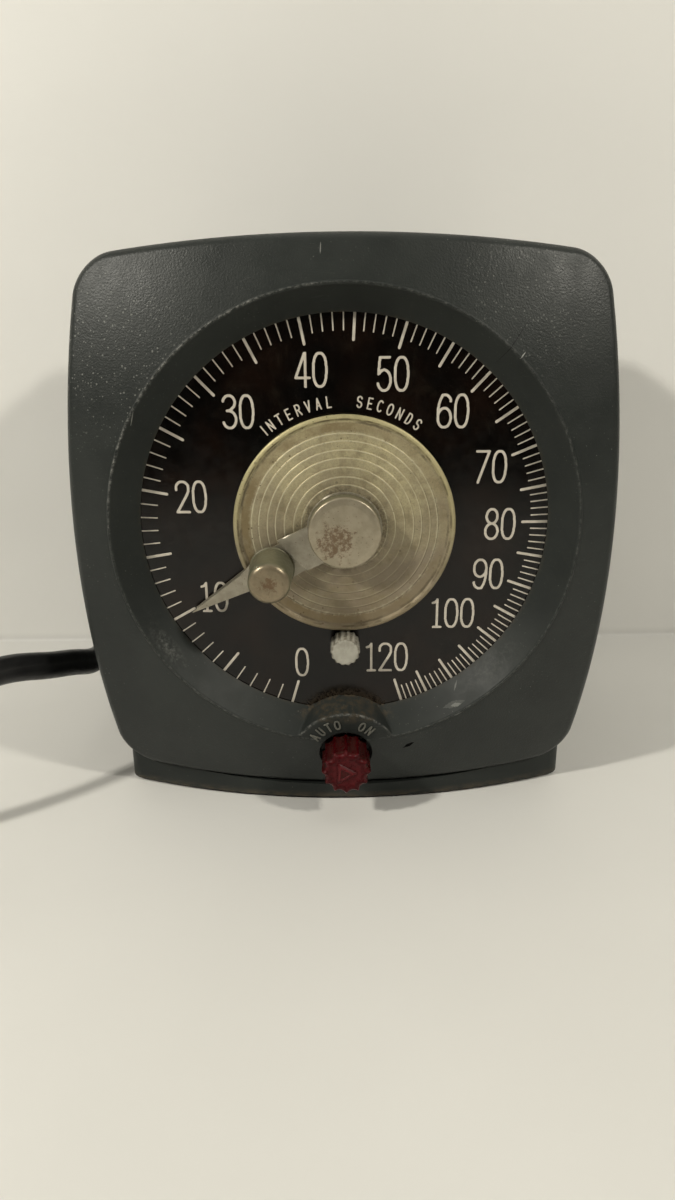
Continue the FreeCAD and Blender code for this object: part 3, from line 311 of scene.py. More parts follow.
def scratches(m, turn, seed):
    """Hairlines from the edges of long thin cells, let through in a few places."""
    cells = m.mapped(scale=(0.05, 0.6, 1.4), offset=(seed, seed, seed), turn=turn)
    edge = m.voronoi(0.55, cells, feature="DISTANCE_TO_EDGE")
    gate = m.patch(scale=0.05, detail=2, rough=0.5, low=0.58, high=0.66,
                   vec=m.shift(seed * 3, 5, seed))
    return m.mul(m.step(edge, low=0.0, high=0.012, to=FALL), gate)


def grey_moulding():
    m = Mat("grey_moulding", colour=(0.0200, 0.0228, 0.0212))
    m.paint(m.patch(scale=0.035, low=0.35, high=0.68), (0.0262, 0.0295, 0.0272))
    m.paint(m.patch(scale=0.35, rough=0.65, low=0.52, high=0.75, to=(0.0, 0.18)),
            (0.033, 0.036, 0.033))
    # dust, and painted glints: bright specks in the peel near the two upper corners, where the
    # highlight falls
    dust = m.specks(scale=1.5, size=0.20, share=0.14)
    painted_glint_area = m.most(m.step(m.around(-66, 52), low=8.0, high=34.0, to=FALL),
                   m.mul(m.step(m.around(52, 66), low=6.0, high=30.0, to=FALL), 0.6))
    painted_glints = m.mul(m.specks(scale=1.25, size=0.30, share=0.34, vec=m.shift(13, 4, 8)),
                  m.mul(painted_glint_area, m.attr("peel")))
    dusty = m.patch(scale=0.06, detail=3, low=0.45, high=0.7, vec=m.shift(31, 7, 11))
    m.paint(m.mul(dust, m.math("MULTIPLY_ADD", dusty, 0.40, 0.08)), (0.22, 0.22, 0.19))
    # painted glints near the two upper corners
    m.paint(painted_glints, (0.24, 0.245, 0.225), amount=0.55)
    hair = reduce(m.most, [scratches(m, turn, seed)
                           for turn, seed in ((24, 3), (-47, 17), (76, 41))])
    m.paint(hair, (0.30, 0.30, 0.27), amount=0.05)
    # grime, darkening, wear and painted highlight lines carried by the mesh, soil along the foot
    grime = m.carried("grime", scale=0.55, detail=5, rough=0.75, low=0.40, high=0.66)
    m.paint(grime, (0.085, 0.062, 0.036))
    # the carried wear holds rubbed spots and the painted highlight lines of the bead and the boss
    # lip
    wear = m.carried("wear", scale=0.7, detail=5, rough=0.75, low=0.42, high=0.70,
                     vec=m.shift(9, 2, 4))
    m.paint(wear, (0.27, 0.27, 0.25))
    o = m.xyz()
    foot = m.mul(m.step(o[2], low=1.2, high=3.6, to=FALL),
                 m.patch(scale=0.25, detail=5, rough=0.7, low=0.34, high=0.60,
                         vec=m.mapped(scale=(1, 1, 3))))
    m.paint(foot, (0.095, 0.074, 0.050), amount=0.45)
    masks = []
    for ends, half, tint, amount in SINGLE_MARKS:
        masks.append(single_mark(m, o, ends, half))
        m.paint(masks[-1], tint, amount=amount)
    rough = m.gloss(0.36, 0.45, scale=0.12)
    rough = m.add(rough, m.mul(m.most(grime, wear), 0.30))
    rough = m.add(rough, m.mul(m.sub(1.0, m.attr("peel")), 0.06))
    # the first, dark mark is dull as well
    specular = m.mul(m.math("MULTIPLY_ADD", m.attr("peel"), 0.09, 0.17),
                     m.sub(1.0, m.mul(masks[0], 0.95)))
    # orange peel and the faint grain of the moulding
    grain = m.add(m.mul(m.noise(1.75, detail=1.5, rough=0.55), 1.0),
                  m.mul(m.noise(4.5, detail=2, rough=0.5), 0.25))
    grain = m.mul(grain, m.add(m.mul(m.attr("peel"), 0.85), 0.15))
    relief = m.bump(grain, strength=0.9, distance=0.075)
    relief = m.bump(m.noise(0.11, detail=3, rough=0.5), strength=0.15, distance=0.20,
                    under=relief)
    m.set(Base_Color=m.colour, Roughness=rough, Specular_IOR_Level=specular, Normal=relief)
    return m.material


def dial_black():
    m = Mat("dial_black", colour=(0.0016, 0.0013, 0.0010))
    m.paint(m.patch(scale=0.05, low=0.35, high=0.7), (0.0070, 0.0034, 0.0020))
    # dust, haze, fine dust
    m.paint(m.specks(scale=1.5, size=0.13, share=0.20), (0.16, 0.14, 0.11), amount=0.22)
    haze = m.patch(scale=0.22, detail=5, rough=0.7, low=0.50, high=0.80, vec=m.shift(3, 3, 9))
    m.paint(haze, (0.10, 0.085, 0.06), amount=0.07)
    m.paint(m.specks(scale=3.2, size=0.16, share=0.09, vec=m.shift(5, 1, 2)),
            (0.20, 0.18, 0.15), amount=0.16)
    # soil round the boss
    soil = m.mul(m.step(m.around(0, BOSS_Y), low=16.5, high=22.0, to=FALL),
                 m.patch(scale=0.8, detail=5, rough=0.7, low=0.36, high=0.62))
    m.paint(soil, (0.045, 0.033, 0.020), amount=0.8)
    m.set(Base_Color=m.colour,
          Roughness=m.add(m.gloss(0.13, 0.22, scale=0.3), m.mul(soil, 0.4)),
          Specular_IOR_Level=0.34,
          Normal=m.bump(m.noise(1.1, detail=3), strength=0.10, distance=0.03))
    return m.material


def cream_ink():
    m = Mat("cream_ink", colour=(0.50, 0.455, 0.385))
    m.paint(m.patch(scale=0.5, low=0.35, high=0.7), (0.60, 0.555, 0.475))
    chips = m.patch(scale=1.7, detail=5, rough=0.75, low=0.60, high=0.74)
    m.paint(chips, (0.28, 0.22, 0.15), amount=0.35)
    m.set(Base_Color=m.colour, Roughness=m.gloss(0.42, 0.6, scale=0.8, detail=3, rough=0.5),
          Normal=m.bump(m.noise(2.6, detail=3), strength=0.25, distance=0.03))
    return m.material


def spun_aluminium():
    """Lacquered aluminium turned about the dial axis, yellower and lighter towards the top:
    yellowed lacquer and painted light.
    """
    m = Mat("spun_aluminium")
    o = m.xyz()
    r = m.around(0, 0)

    def height(low, high, to=(0.0, 1.0)):
        """Step over heights measured from the dial centre."""
        return m.step(o[2], DIAL_Z + low, DIAL_Z + high, to)

    turning = m.node("ShaderNodeTexNoise")
    turning.noise_dimensions = "1D"
    m.link(m.mul(r, 6.0), turning.inputs["W"])
    turning.inputs["Scale"].default_value = 1.0
    turning.inputs["Detail"].default_value = 3.0
    lines = turning.outputs[0]
    blotch = m.mul(m.sub(m.noise(0.09, detail=5, rough=0.65), 0.5), 1.5)
    # lighter and yellower towards the top: yellowed lacquer, with painted light on the upper part
    lacquer_and_painted_light = m.math("MULTIPLY_ADD", height(-22, 30), 0.72, blotch, clamp=True)
    m.colour = m.mix(lacquer_and_painted_light, (0.300, 0.250, 0.182), (0.620, 0.550, 0.325))
    m.paint(m.patch(scale=0.22, detail=5, rough=0.7, low=0.45, high=0.72, to=(0.0, 0.70),
                    vec=m.shift(4, 0, 9)), (0.235, 0.190, 0.105))
    m.paint(m.step(lines, low=0.45, high=0.75, to=(0.0, 0.16)), (0.36, 0.34, 0.28))
    m.paint(m.patch(scale=2.0, detail=3, rough=0.75, low=0.40, high=0.68, to=(0.0, 0.42)),
            (0.25, 0.22, 0.145))
    # browner flat band inside the bead, stronger on the left
    left = m.step(o[0], low=-6.0, high=26.0, to=(1.0, 0.35))
    flat = m.mul(m.band(r, (28.2, 28.9), (30.9, 31.3)), left)
    m.paint(m.mul(flat, m.patch(scale=0.16, rough=0.65, low=0.30, high=0.62, to=(0.25, 0.85),
                                vec=m.shift(6, 2, 2))), (0.245, 0.185, 0.095))
    # darker, browner bottom as painted shade; painted highlight on the bead, stronger towards the
    # top; pale crust outside the first step
    # painted shade: darker and browner towards the bottom
    m.paint(m.mul(height(-30, -6, to=(0.55, 0.0)),
                  m.patch(scale=0.10, low=0.35, high=0.62, to=(0.2, 1.0),
                          vec=m.shift(1, 9, 4))), (0.215, 0.165, 0.100))
    # painted highlight on the bead, stronger towards the top
    m.paint(m.mul(m.step(r, low=31.6, high=32.1), height(-16, 12, to=(0.05, 0.50))),
            (0.64, 0.575, 0.31))
    m.paint(m.mul(m.band(r, (27.2, 28.0), (28.3, 29.3)),
                  m.patch(scale=0.9, detail=5, rough=0.75, low=0.46, high=0.62,
                          to=(0.0, 0.55), vec=m.shift(3, 1, 7))), (0.50, 0.46, 0.33))
    # painted highlights: pale lines on the step edges, strongest on the upper left
    pale = reduce(m.most, [m.band(r, (s - 0.36, s - 0.16), (s - 0.02, s + 0.12))
                           for s in STEP_RADII])
    step_highlight_side = m.mul(height(-20, 2, to=(0.22, 0.75)),
                  m.step(o[0], low=4.0, high=24.0, to=(1.0, 0.55)))
    broken = m.patch(scale=0.25, low=0.30, high=0.55, to=(0.45, 1.0), vec=m.shift(2, 2, 5))
    # painted highlights along the step edges
    m.paint(m.mul(pale, m.mul(step_highlight_side, broken)), (0.74, 0.69, 0.50))
    pits = m.mul(m.specks(scale=1.0, size=0.24, share=0.22, vec=m.shift(7, 7, 3)),
                 m.mul(m.step(r, low=24.5, high=27.0), left))
    m.paint(pits, (0.115, 0.080, 0.036), amount=0.75)
    # soil inside the rim bead, round the hub and in spots; darker lines in the steps on the upper
    # half
    wobbly = m.math("MULTIPLY_ADD", m.noise(0.35), 0.9, m.sub(r, 0.45))
    rim = m.mul(m.band(wobbly, (30.75, 31.25), (31.45, 31.9)),
                m.patch(scale=0.10, rough=0.65, low=0.42, high=0.62, to=(0.10, 0.80)))
    bead = m.mul(m.band(r, (31.7, 31.95), (32.2, 32.5)),
                 m.patch(scale=0.2, rough=0.65, low=0.38, high=0.6, to=(0.15, 0.75),
                         vec=m.shift(8, 8, 1)))
    hub = m.mul(m.step(r, low=10.6, high=15.8, to=FALL),
                m.patch(scale=0.7, detail=5, rough=0.75, low=0.40, high=0.66))
    large = m.specks(scale=0.42, size=0.17, share=0.10)
    small = m.specks(scale=1.3, size=0.18, share=0.05, vec=m.shift(2, 8, 3))
    soil_and_step_lines = m.most(m.most(m.most(rim, bead), m.mul(hub, 0.85)),
                  m.most(m.mul(large, 0.45), m.mul(small, 0.6)))
    steps = reduce(m.most, [m.band(r, (s - 0.05, s + 0.10), (s + 0.25, s + 0.45))
                            for s in STEP_RADII])
    # darker lines in the steps, on the upper half only
    upper = m.mul(height(-8, 8), m.patch(scale=0.3, low=0.35, high=0.65, to=(0.02, 0.22)))
    soil_and_step_lines = m.most(soil_and_step_lines, m.mul(steps, upper))
    m.paint(soil_and_step_lines, (0.090, 0.068, 0.035))
    # the turning lines spread the light across themselves, so the tangent is radial
    axis = (0, 1, 0)
    offset = m.vmath("SUBTRACT", m.mm, (0, 0, DIAL_Z))
    circular = m.vmath("CROSS_PRODUCT", axis, offset)
    radial = m.vmath("NORMALIZE", m.vmath("CROSS_PRODUCT", circular, axis))
    to_world = m.node("ShaderNodeVectorTransform")
    to_world.vector_type = "VECTOR"
    to_world.convert_from = "OBJECT"
    to_world.convert_to = "WORLD"
    m.link(radial, to_world.inputs[0])
    relief = m.bump(lines, strength=0.20, distance=0.025)
    relief = m.bump(m.noise(0.5), strength=0.10, distance=0.06, under=relief)
    rough = m.add(m.gloss(0.50, 0.60, scale=0.14), m.mul(lines, 0.06))
    m.set(Base_Color=m.colour, Metallic=m.math("MULTIPLY_ADD", soil_and_step_lines, -0.40, 0.66),
          Roughness=m.add(rough, m.mul(soil_and_step_lines, 0.25)), Anisotropic=0.42,
          Tangent=to_world.outputs[0], Normal=relief)
    return m.material


def plated(name, centre, stain, base, base2, metal, side):
    """Dull plating with a brown stain of radius stain about a dial point, and a darker side colour
    painted as shade on the side walls.
    """
    m = Mat(name, colour=base)
    r = m.around(*centre)
    m.paint(m.patch(scale=0.35, low=0.35, high=0.68), base2)
    # painted shade: the side walls take the darker side colour
    m.paint(m.attr("side"), side)
    blotch = m.add(m.noise(0.75, detail=6, rough=0.75),
                   m.mul(m.step(r, stain * 0.15, stain, to=FALL), 0.21))
    brown = m.mul(m.step(blotch, low=0.56, high=0.73),
                  m.step(r, stain * 0.9, stain * 1.5, to=(1.0, 0.12)))
    m.paint(brown, (0.115, 0.062, 0.026), amount=0.82)
    m.paint(m.specks(scale=1.5, size=0.20, share=0.16), (0.09, 0.05, 0.022), amount=0.55)
    foot = m.carried("grime", scale=0.9, rough=0.7, low=0.35, high=0.65)
    m.paint(foot, (0.08, 0.062, 0.04))
    relief = m.bump(m.noise(1.2), strength=0.16, distance=0.05)
    m.set(Base_Color=m.colour,
          Metallic=m.math("MULTIPLY_ADD", m.most(brown, foot), -0.5 * metal, metal),
          Roughness=m.add(m.gloss(0.30, 0.42, scale=0.6), m.mul(m.most(brown, foot), 0.30)),
          Normal=m.bump(brown, strength=0.30, distance=0.03, under=relief))
    return m.material


def red_plastic():
    m = Mat("red_plastic", colour=(0.025, 0.0007, 0.0013))
    m.paint(m.patch(scale=0.12, detail=3, rough=0.5, low=0.35, high=0.7),
            (0.042, 0.0014, 0.0026))
    wear = m.carried("wear", scale=1.0, detail=5, rough=0.7, low=0.30, high=0.56)
    m.paint(wear, (0.20, 0.030, 0.034), amount=0.42)
    soil = m.carried("grime", scale=0.8, detail=5, rough=0.7, low=0.36, high=0.62)
    m.paint(soil, (0.045, 0.018, 0.014), amount=0.8)
    relief = m.bump(m.noise(0.6, detail=3, rough=0.5), strength=0.16, distance=0.05)
    m.set(Base_Color=m.colour,
          Roughness=m.add(m.gloss(0.20, 0.32, scale=0.5), m.mul(m.most(wear, soil), 0.3)),
          Subsurface_Weight=0.12, Subsurface_Radius=(0.8, 0.05, 0.05),
          Subsurface_Scale=0.0012, Coat_Weight=0.0, Coat_Roughness=0.18,
          Specular_IOR_Level=0.12,
          Normal=m.bump(m.noise(3.0, detail=3, rough=0.5), strength=0.06, distance=0.02,
                        under=relief))
    return m.material


def pale_grey_plastic():
    m = Mat("pale_grey_plastic", colour=(0.33, 0.315, 0.265))
    m.paint(m.patch(scale=0.5, low=0.35, high=0.7), (0.39, 0.375, 0.32))
    soil = m.carried("grime", scale=0.9, detail=5, rough=0.72, low=0.30, high=0.58)
    m.paint(soil, (0.10, 0.082, 0.055), amount=0.85)
    m.paint(m.specks(scale=2.0, size=0.18, share=0.10), (0.16, 0.12, 0.08), amount=0.5)
    m.set(Base_Color=m.colour,
          Roughness=m.add(m.gloss(0.36, 0.5, scale=0.7), m.mul(soil, 0.3)),
          Normal=m.bump(m.noise(2.2), strength=0.22, distance=0.05))
    return m.material


# dark and light colour, roughness range, metallic, noise scale, bump strength, spot colour,
# spot amount; then, where used, grain stretch, sheen and specular level
PLAIN = {
    "worn_mark": ((0.080, 0.080, 0.068), (0.125, 0.122, 0.100), (0.35, 0.5), 0.0, 0.8, 0.2,
                  (0.05, 0.05, 0.045), 0.4),
    "steel": ((0.36, 0.36, 0.35), (0.46, 0.455, 0.44), (0.28, 0.42), 1.0, 0.6, 0.2,
              (0.12, 0.07, 0.035), 0.45),
    "brass": ((0.52, 0.37, 0.13), (0.60, 0.44, 0.18), (0.26, 0.42), 1.0, 0.5, 0.2,
              (0.16, 0.09, 0.035), 0.4),
    "bronze": ((0.44, 0.26, 0.12), (0.52, 0.33, 0.16), (0.28, 0.42), 1.0, 0.5, 0.2,
               (0.14, 0.08, 0.04), 0.35),
    "copper_can": ((0.55, 0.30, 0.19), (0.62, 0.37, 0.25), (0.30, 0.45), 1.0, 0.3, 0.2,
                   (0.20, 0.10, 0.06), 0.35),
    "laminations": ((0.20, 0.20, 0.205), (0.27, 0.27, 0.27), (0.38, 0.55), 0.9, 0.4, 0.3,
                    (0.10, 0.055, 0.03), 0.4, (0.02, 2.2, 0.02)),
    "coil_tape": ((0.30, 0.20, 0.06), (0.38, 0.27, 0.10), (0.45, 0.6), 0.0, 0.3, 0.5,
                  (0.16, 0.10, 0.04), 0.3, (0.9, 0.05, 0.05)),
    "brown_phenolic": ((0.060, 0.030, 0.016), (0.085, 0.044, 0.024), (0.30, 0.45), 0.0, 0.4,
                       0.25, (0.03, 0.02, 0.012), 0.4),
    "black_rubber": ((0.0065, 0.0065, 0.0068), (0.011, 0.011, 0.0115), (0.30, 0.46), 0.0,
                     0.15, 0.22, (0.030, 0.028, 0.024), 0.35),
    "lead_insulation": ((0.035, 0.030, 0.026), (0.05, 0.044, 0.038), (0.4, 0.55), 0.0, 0.5,
                        0.25, (0.05, 0.04, 0.03), 0.3),
    "felt": ((0.020, 0.024, 0.018), (0.032, 0.037, 0.028), (0.85, 0.98), 0.0, 1.2, 0.9,
             (0.05, 0.045, 0.035), 0.25, None, 0.35, 0.2),
}


def plain(name, dark, light, gloss, metallic, scale, bump, spot, spot_amount, grain=None,
          sheen=0.0, specular=0.5):
    m = Mat(name, colour=dark)
    m.paint(m.patch(scale=scale, detail=5, low=0.32, high=0.68), light)
    fine = m.noise(scale * 7)
    m.paint(m.step(fine, low=0.5, high=0.8, to=(0.0, 0.3)),
            tuple(min(1, i * 1.4 + 0.01) for i in light))
    worn = m.mul(m.patch(scale=scale * 2.2, detail=6, rough=0.75, low=0.52, high=0.72,
                         vec=m.shift(7, 3, 5)), spot_amount)
    m.paint(worn, spot)
    if grain:
        m.paint(m.patch(scale=1.0, low=0.4, high=0.7, to=(0.0, 0.35),
                        vec=m.mapped(scale=grain)), tuple(i * 0.55 for i in dark))
    m.set(Base_Color=m.colour, Metallic=metallic, Specular_IOR_Level=specular,
          Roughness=m.add(m.gloss(*gloss, scale=scale * 1.7), m.mul(worn, 0.25)),
          Sheen_Weight=sheen, Normal=m.bump(fine, strength=bump, distance=0.06))
    return m.material


MATERIALS = {
    "grey_moulding": grey_moulding(),
    "dial_black": dial_black(),
    "cream_ink": cream_ink(),
    "worn_mark": plain("worn_mark", *PLAIN["worn_mark"]),
    "spun_aluminium": spun_aluminium(),
    # side: darker colour painted as shade on the side walls of the hub and the finger knob
    "hub": plated("plated_hub", centre=(-3.0, -2.3), stain=8.2, base=(0.385, 0.335, 0.245),
                  base2=(0.32, 0.28, 0.20), metal=0.55, side=(0.215, 0.205, 0.135)),
    "finger": plated("plated_finger", centre=(-22.06, -12.38), stain=3.6,
                     base=(0.275, 0.222, 0.145), base2=(0.215, 0.175, 0.112), metal=0.5,
                     side=(0.19, 0.185, 0.12)),
    "pointer": plated("plated_pointer", centre=(60, 60), stain=5.0,
                      base=(0.39, 0.355, 0.28), base2=(0.30, 0.272, 0.212), metal=0.6,
                      side=(0.215, 0.205, 0.135)),
    "red_plastic": red_plastic(),
    "pale_grey_plastic": pale_grey_plastic(),
}
for plain_name, row in PLAIN.items():
    if plain_name not in MATERIALS:
        MATERIALS[plain_name] = plain(plain_name, *row)


def dress_cad():
    """Gives every CAD piece the material of its slot."""
    slots = {part["node"]: part["material_slot"] for part in frame["record"]["subparts"]}
    for node, ob in frame["nodes"].items():
        slot = slots.get(node, "steel")
        key = "pointer" if slot == "plated_beige" else slot
        ob.data.materials.clear()
        ob.data.materials.append(MATERIALS.get(key, MATERIALS["steel"]))


# ------------------------------------------------------------------ solid helpers
def fade(value, start, width):
    """1 up to start, falling to 0 over width."""
    return np.clip(1 - (value - start) / width, 0, 1)


def near(value, centre, width):
    """1 at centre, falling to 0 at width on both sides."""
    return fade(np.abs(value - centre), 0, width)


def power(value, exponent):
    """Power that keeps the sign."""
    return math.copysign(abs(value) ** exponent, value)


def rounded(points, steps):
    """Polyline of (a, b) or (a, b, radius); inner corners with a radius are rounded."""
    out = []
    for i, point in enumerate(points):
        if len(point) == 2 or i in (0, len(points) - 1):
            out.append((point[0], point[1]))
            continue
        corner = np.array(point[:2], float)
        back = np.array(points[i - 1][:2], float) - corner
        ahead = np.array(points[i + 1][:2], float) - corner
        back_len, ahead_len = np.linalg.norm(back), np.linalg.norm(ahead)
        back, ahead = back / back_len, ahead / ahead_len
        half = math.acos(float(back @ ahead)) / 2
        cut = min(point[2] / math.tan(half), 0.48 * back_len, 0.48 * ahead_len)
        r = cut * math.tan(half)
        middle = back + ahead
        centre = corner + middle / np.linalg.norm(middle) * (r / math.sin(half))
        start, end = corner + back * cut - centre, corner + ahead * cut - centre
        a0 = math.atan2(start[1], start[0])
        sweep = (math.atan2(end[1], end[0]) - a0 + math.pi) % (2 * math.pi) - math.pi
        for j in range(steps + 1):
            a = a0 + sweep * j / steps
            out.append((centre[0] + r * math.cos(a), centre[1] + r * math.sin(a)))
    return out


def stack(rings, closed=False):
    """Solid of rings joined in order; a ring of one point is a tip on the axis."""
    starts = np.cumsum([0] + [len(ring) for ring in rings])
    ids = [range(start, start + len(ring)) for start, ring in zip(starts, rings)]
    faces = []
    for a, b in zip(ids, ids[1:] + (ids[:1] if closed else [])):
        size = max(len(a), len(b))
        for i in range(size):
            j = (i + 1) % size
            if len(a) == 1:
                faces.append((a[0], b[i], b[j]))
            elif len(b) == 1:
                faces.append((a[i], b[0], a[j]))
            else:
                faces.append((a[i], b[i], b[j], a[j]))
    return np.concatenate(rings), faces


def ring_at(radius, k, angles, x, y):
    return np.c_[x + radius * np.cos(angles), y + radius * np.sin(angles),
                 np.full(len(angles), k)]


def lathe(profile, segments, x=0.0, y=0.0, closed=False):
    """Turned solid; profile in (radius, k). Open profiles start and end on the axis."""
    angles = np.linspace(0, 2 * math.pi, segments, endpoint=False)
    return stack([np.array([(x, y, k)]) if r < 1e-6 else ring_at(r, k, angles, x, y)
                  for r, k in profile], closed)


def lobed(profile, section, segments, y):
    """Solid of radius section(angle) about (0, y); profile in (inset, k), None is a tip.
    Insets beyond 1.6 fade towards a circle."""
    angles = np.linspace(0, 2 * math.pi, segments, endpoint=False)
    outline = section(angles)
    rings = []
    for inset, k in profile:
        if inset is None:
            rings.append(np.array([(0.0, y, k)]))
            continue
        soft = min(max((inset - 1.6) / 2.0, 0.0), 1.0)
        r = (outline - inset) * (1 - soft) + (outline.mean() - inset) * soft
        rings.append(ring_at(r, k, angles, 0.0, y))
    return stack(rings)


def scallops(count, disc_r, flute_centre, flute_r, soft):
    """Section of a disc with round flutes whose centres lie at radius flute_centre."""
    def section(angles):
        pitch = 2 * math.pi / count
        a = angles % pitch - pitch / 2
        s = flute_r ** 2 - (flute_centre * np.sin(a)) ** 2
        cut = np.where(s > 0, flute_centre * np.cos(a) - np.sqrt(np.maximum(s, 0)), 1e9)
        h = np.clip(0.5 + 0.5 * (cut - disc_r) / soft, 0, 1)
        return cut * (1 - h) + disc_r * h - soft * h * (1 - h)
    return section


def loft(count, size, base=0, last_cap_first=False):
    """Faces of count loops of size vertices each, with both ends capped."""
    faces = []
    for a in range(base, base + (count - 1) * size, size):
        for j in range(size):
            j2 = (j + 1) % size
            faces.append((a + j, a + j2, a + size + j2, a + size + j))
    first = range(base, base + size)
    last = range(base + (count - 1) * size, base + count * size)
    return faces + ([last, first[::-1]] if last_cap_first else [first, last])


def smooth_max(a, b, r):
    u, w = np.maximum(a + r, 0), np.maximum(b + r, 0)
    return np.minimum(np.maximum(a, b), -r) + np.sqrt(u * u + w * w)


def smooth_min(a, b, r):
    u, w = np.maximum(r - a, 0), np.maximum(r - b, 0)
    return np.maximum(np.minimum(a, b), r) - np.sqrt(u * u + w * w)


# corners i, j, k of a grid cell are numbered 4i + 2j + k; the edges join those that differ
# in one index
CORNERS = [(i, j, k) for i in (0, 1) for j in (0, 1) for k in (0, 1)]
EDGES = [(p, p | bit) for bit in (1, 2, 4) for p in range(8) if not p & bit]


def surface_net(field, grid_a, grid_b, grid_c, to_xyz=None, wrap=False, steps=4, limit=0.4):
    """Vertices, quads and normals of the zero surface of field over a grid.
    With wrap, grid_b is an angle that closes on itself."""
    if wrap:
        grid_b = np.append(grid_b, grid_b[0] + 2 * math.pi)
    grid = np.meshgrid(grid_a, grid_b, grid_c, indexing="ij")
    points = np.stack(to_xyz(*grid) if to_xyz else grid, -1)
    values = field(points[..., 0], points[..., 1], points[..., 2])
    if wrap:
        values[:, -1] = values[:, 0]
    inside = values < 0
    na, nb, nc = values.shape
    count = np.zeros((na - 1, nb - 1, nc - 1), np.int8)
    for i, j, k in CORNERS:
        count += inside[i:na - 1 + i, j:nb - 1 + j, k:nc - 1 + k]
    active = np.argwhere((count > 0) & (count < 8))
    ids = np.full(count.shape, -1, np.int64)
    ids[tuple(active.T)] = np.arange(len(active))
    at = [tuple((active + corner).T) for corner in CORNERS]
    corner_v = np.stack([values[i] for i in at], 1)
    corner_p = np.stack([points[i] for i in at], 1)
    # each vertex starts at the mean of the crossings on the edges of its cell
    total = np.zeros((len(active), 3))
    number = np.zeros(len(active))
    for p, q in EDGES:
        m = (corner_v[:, p] < 0) != (corner_v[:, q] < 0)
        t = corner_v[m, p] / (corner_v[m, p] - corner_v[m, q])
        total[m] += corner_p[m, p] + (corner_p[m, q] - corner_p[m, p]) * t[:, None]
        number[m] += 1
    verts = total / number[:, None]

    def gradient(at, h=0.03):
        g = np.empty_like(at)
        for axis in range(3):
            d = np.zeros(3)
            d[axis] = h
            g[:, axis] = (field(*(at + d).T) - field(*(at - d).T)) / (2 * h)
        return g

    # then it is drawn onto the surface
    for _ in range(steps):
        g = gradient(verts)
        move = g * (field(*verts.T) / np.maximum((g * g).sum(1), 0.05))[:, None]
        size = np.linalg.norm(move, axis=1)
        verts = verts - move * np.minimum(1, limit / np.maximum(size, 1e-12))[:, None]

    # one quad round every grid edge that crosses the surface
    quads = []
    unit = np.eye(3, dtype=int)
    for axis in range(3):
        start = [1, 0 if wrap else 1, 1]
        start[axis] = 0
        this = [slice(s, n - 1) for s, n in zip(start, values.shape)]
        following = list(this)
        following[axis] = slice(1, values.shape[axis])
        cell = np.argwhere(inside[tuple(this)] != inside[tuple(following)]) + start
        p, q = np.delete(unit, axis, 0)
        ring = []
        for back in (p + q, q, 0 * p, p):
            index = cell - back
            index[:, 1] %= nb - 1
            ring.append(ids[tuple(index.T)])
        quads.append(np.stack(ring, 1))
    quads = np.concatenate(quads)
    normals = gradient(verts)
    normals /= np.maximum(np.linalg.norm(normals, axis=1), 1e-9)[:, None]
    d1 = verts[quads[:, 2]] - verts[quads[:, 0]]
    d2 = verts[quads[:, 3]] - verts[quads[:, 1]]
    flip = (np.cross(d1, d2) * normals[quads].sum(1)).sum(1) < 0
    quads[flip] = quads[flip][:, ::-1]
    return verts, quads, normals


def spans(*parts):
    """Grid coordinates from (start, end, step) runs."""
    out = [parts[-1][1]]
    for start, end, step in parts:
        out.extend(np.arange(start, end - 1e-9, step).tolist())
    return np.array(sorted(set(round(i, 5) for i in out)))


# ------------------------------------------------------------------ front cover
DOME_R, DOME_K = 272.0, 17.25           # domed front: radius, k at the dial centre
ARC_R = 500.0                           # the four sides of the outline are arcs
SIDE_ARC_X, SIDE_ARC_Y = 418.856, -3.0
TOP_ARC_Y, BOTTOM_ARC_Y = -417.97, 411.97
CORNER_R = 10.0
WALL = 3.0
BACK_K = -22.0
CONE_R, CONE_SLOPE, CONE_COS = 61.1, 0.92941, 0.7325    # recess round the dial
BOSS_TAPER, BOSS_COS = 6.0, 0.986       # the boss narrows by 1 in 6 towards the front
BEAD_K, BEAD_SECTION_R = 8.12, 0.42
FLOOR_R, FLOOR_K = 69.5, -1.2           # solid kept behind the recess: radius, lowest k
OPENING_R = 64.3                        # opening behind the recess
POSTS, POST_R = [(64, 66), (-64, 66), (64, -72), (-64, -72)], 4.5
POCKET_R, POCKET_K, HOLE_R = 8.3, 1.5, 4.8      # pocket in the boss, and the hole through it


def face_outline(x, y):
    left = np.hypot(x - SIDE_ARC_X, y - SIDE_ARC_Y) - ARC_R
    right = np.hypot(x + SIDE_ARC_X, y - SIDE_ARC_Y) - ARC_R
    top = np.hypot(x, y - TOP_ARC_Y) - ARC_R
    bottom = np.hypot(x, y - BOTTOM_ARC_Y) - ARC_R
    return smooth_max(np.maximum(left, right), np.maximum(top, bottom), CORNER_R)


def dome_at(x, y):
    return DOME_K - DOME_R + np.sqrt(DOME_R ** 2 - x * x - y * y)


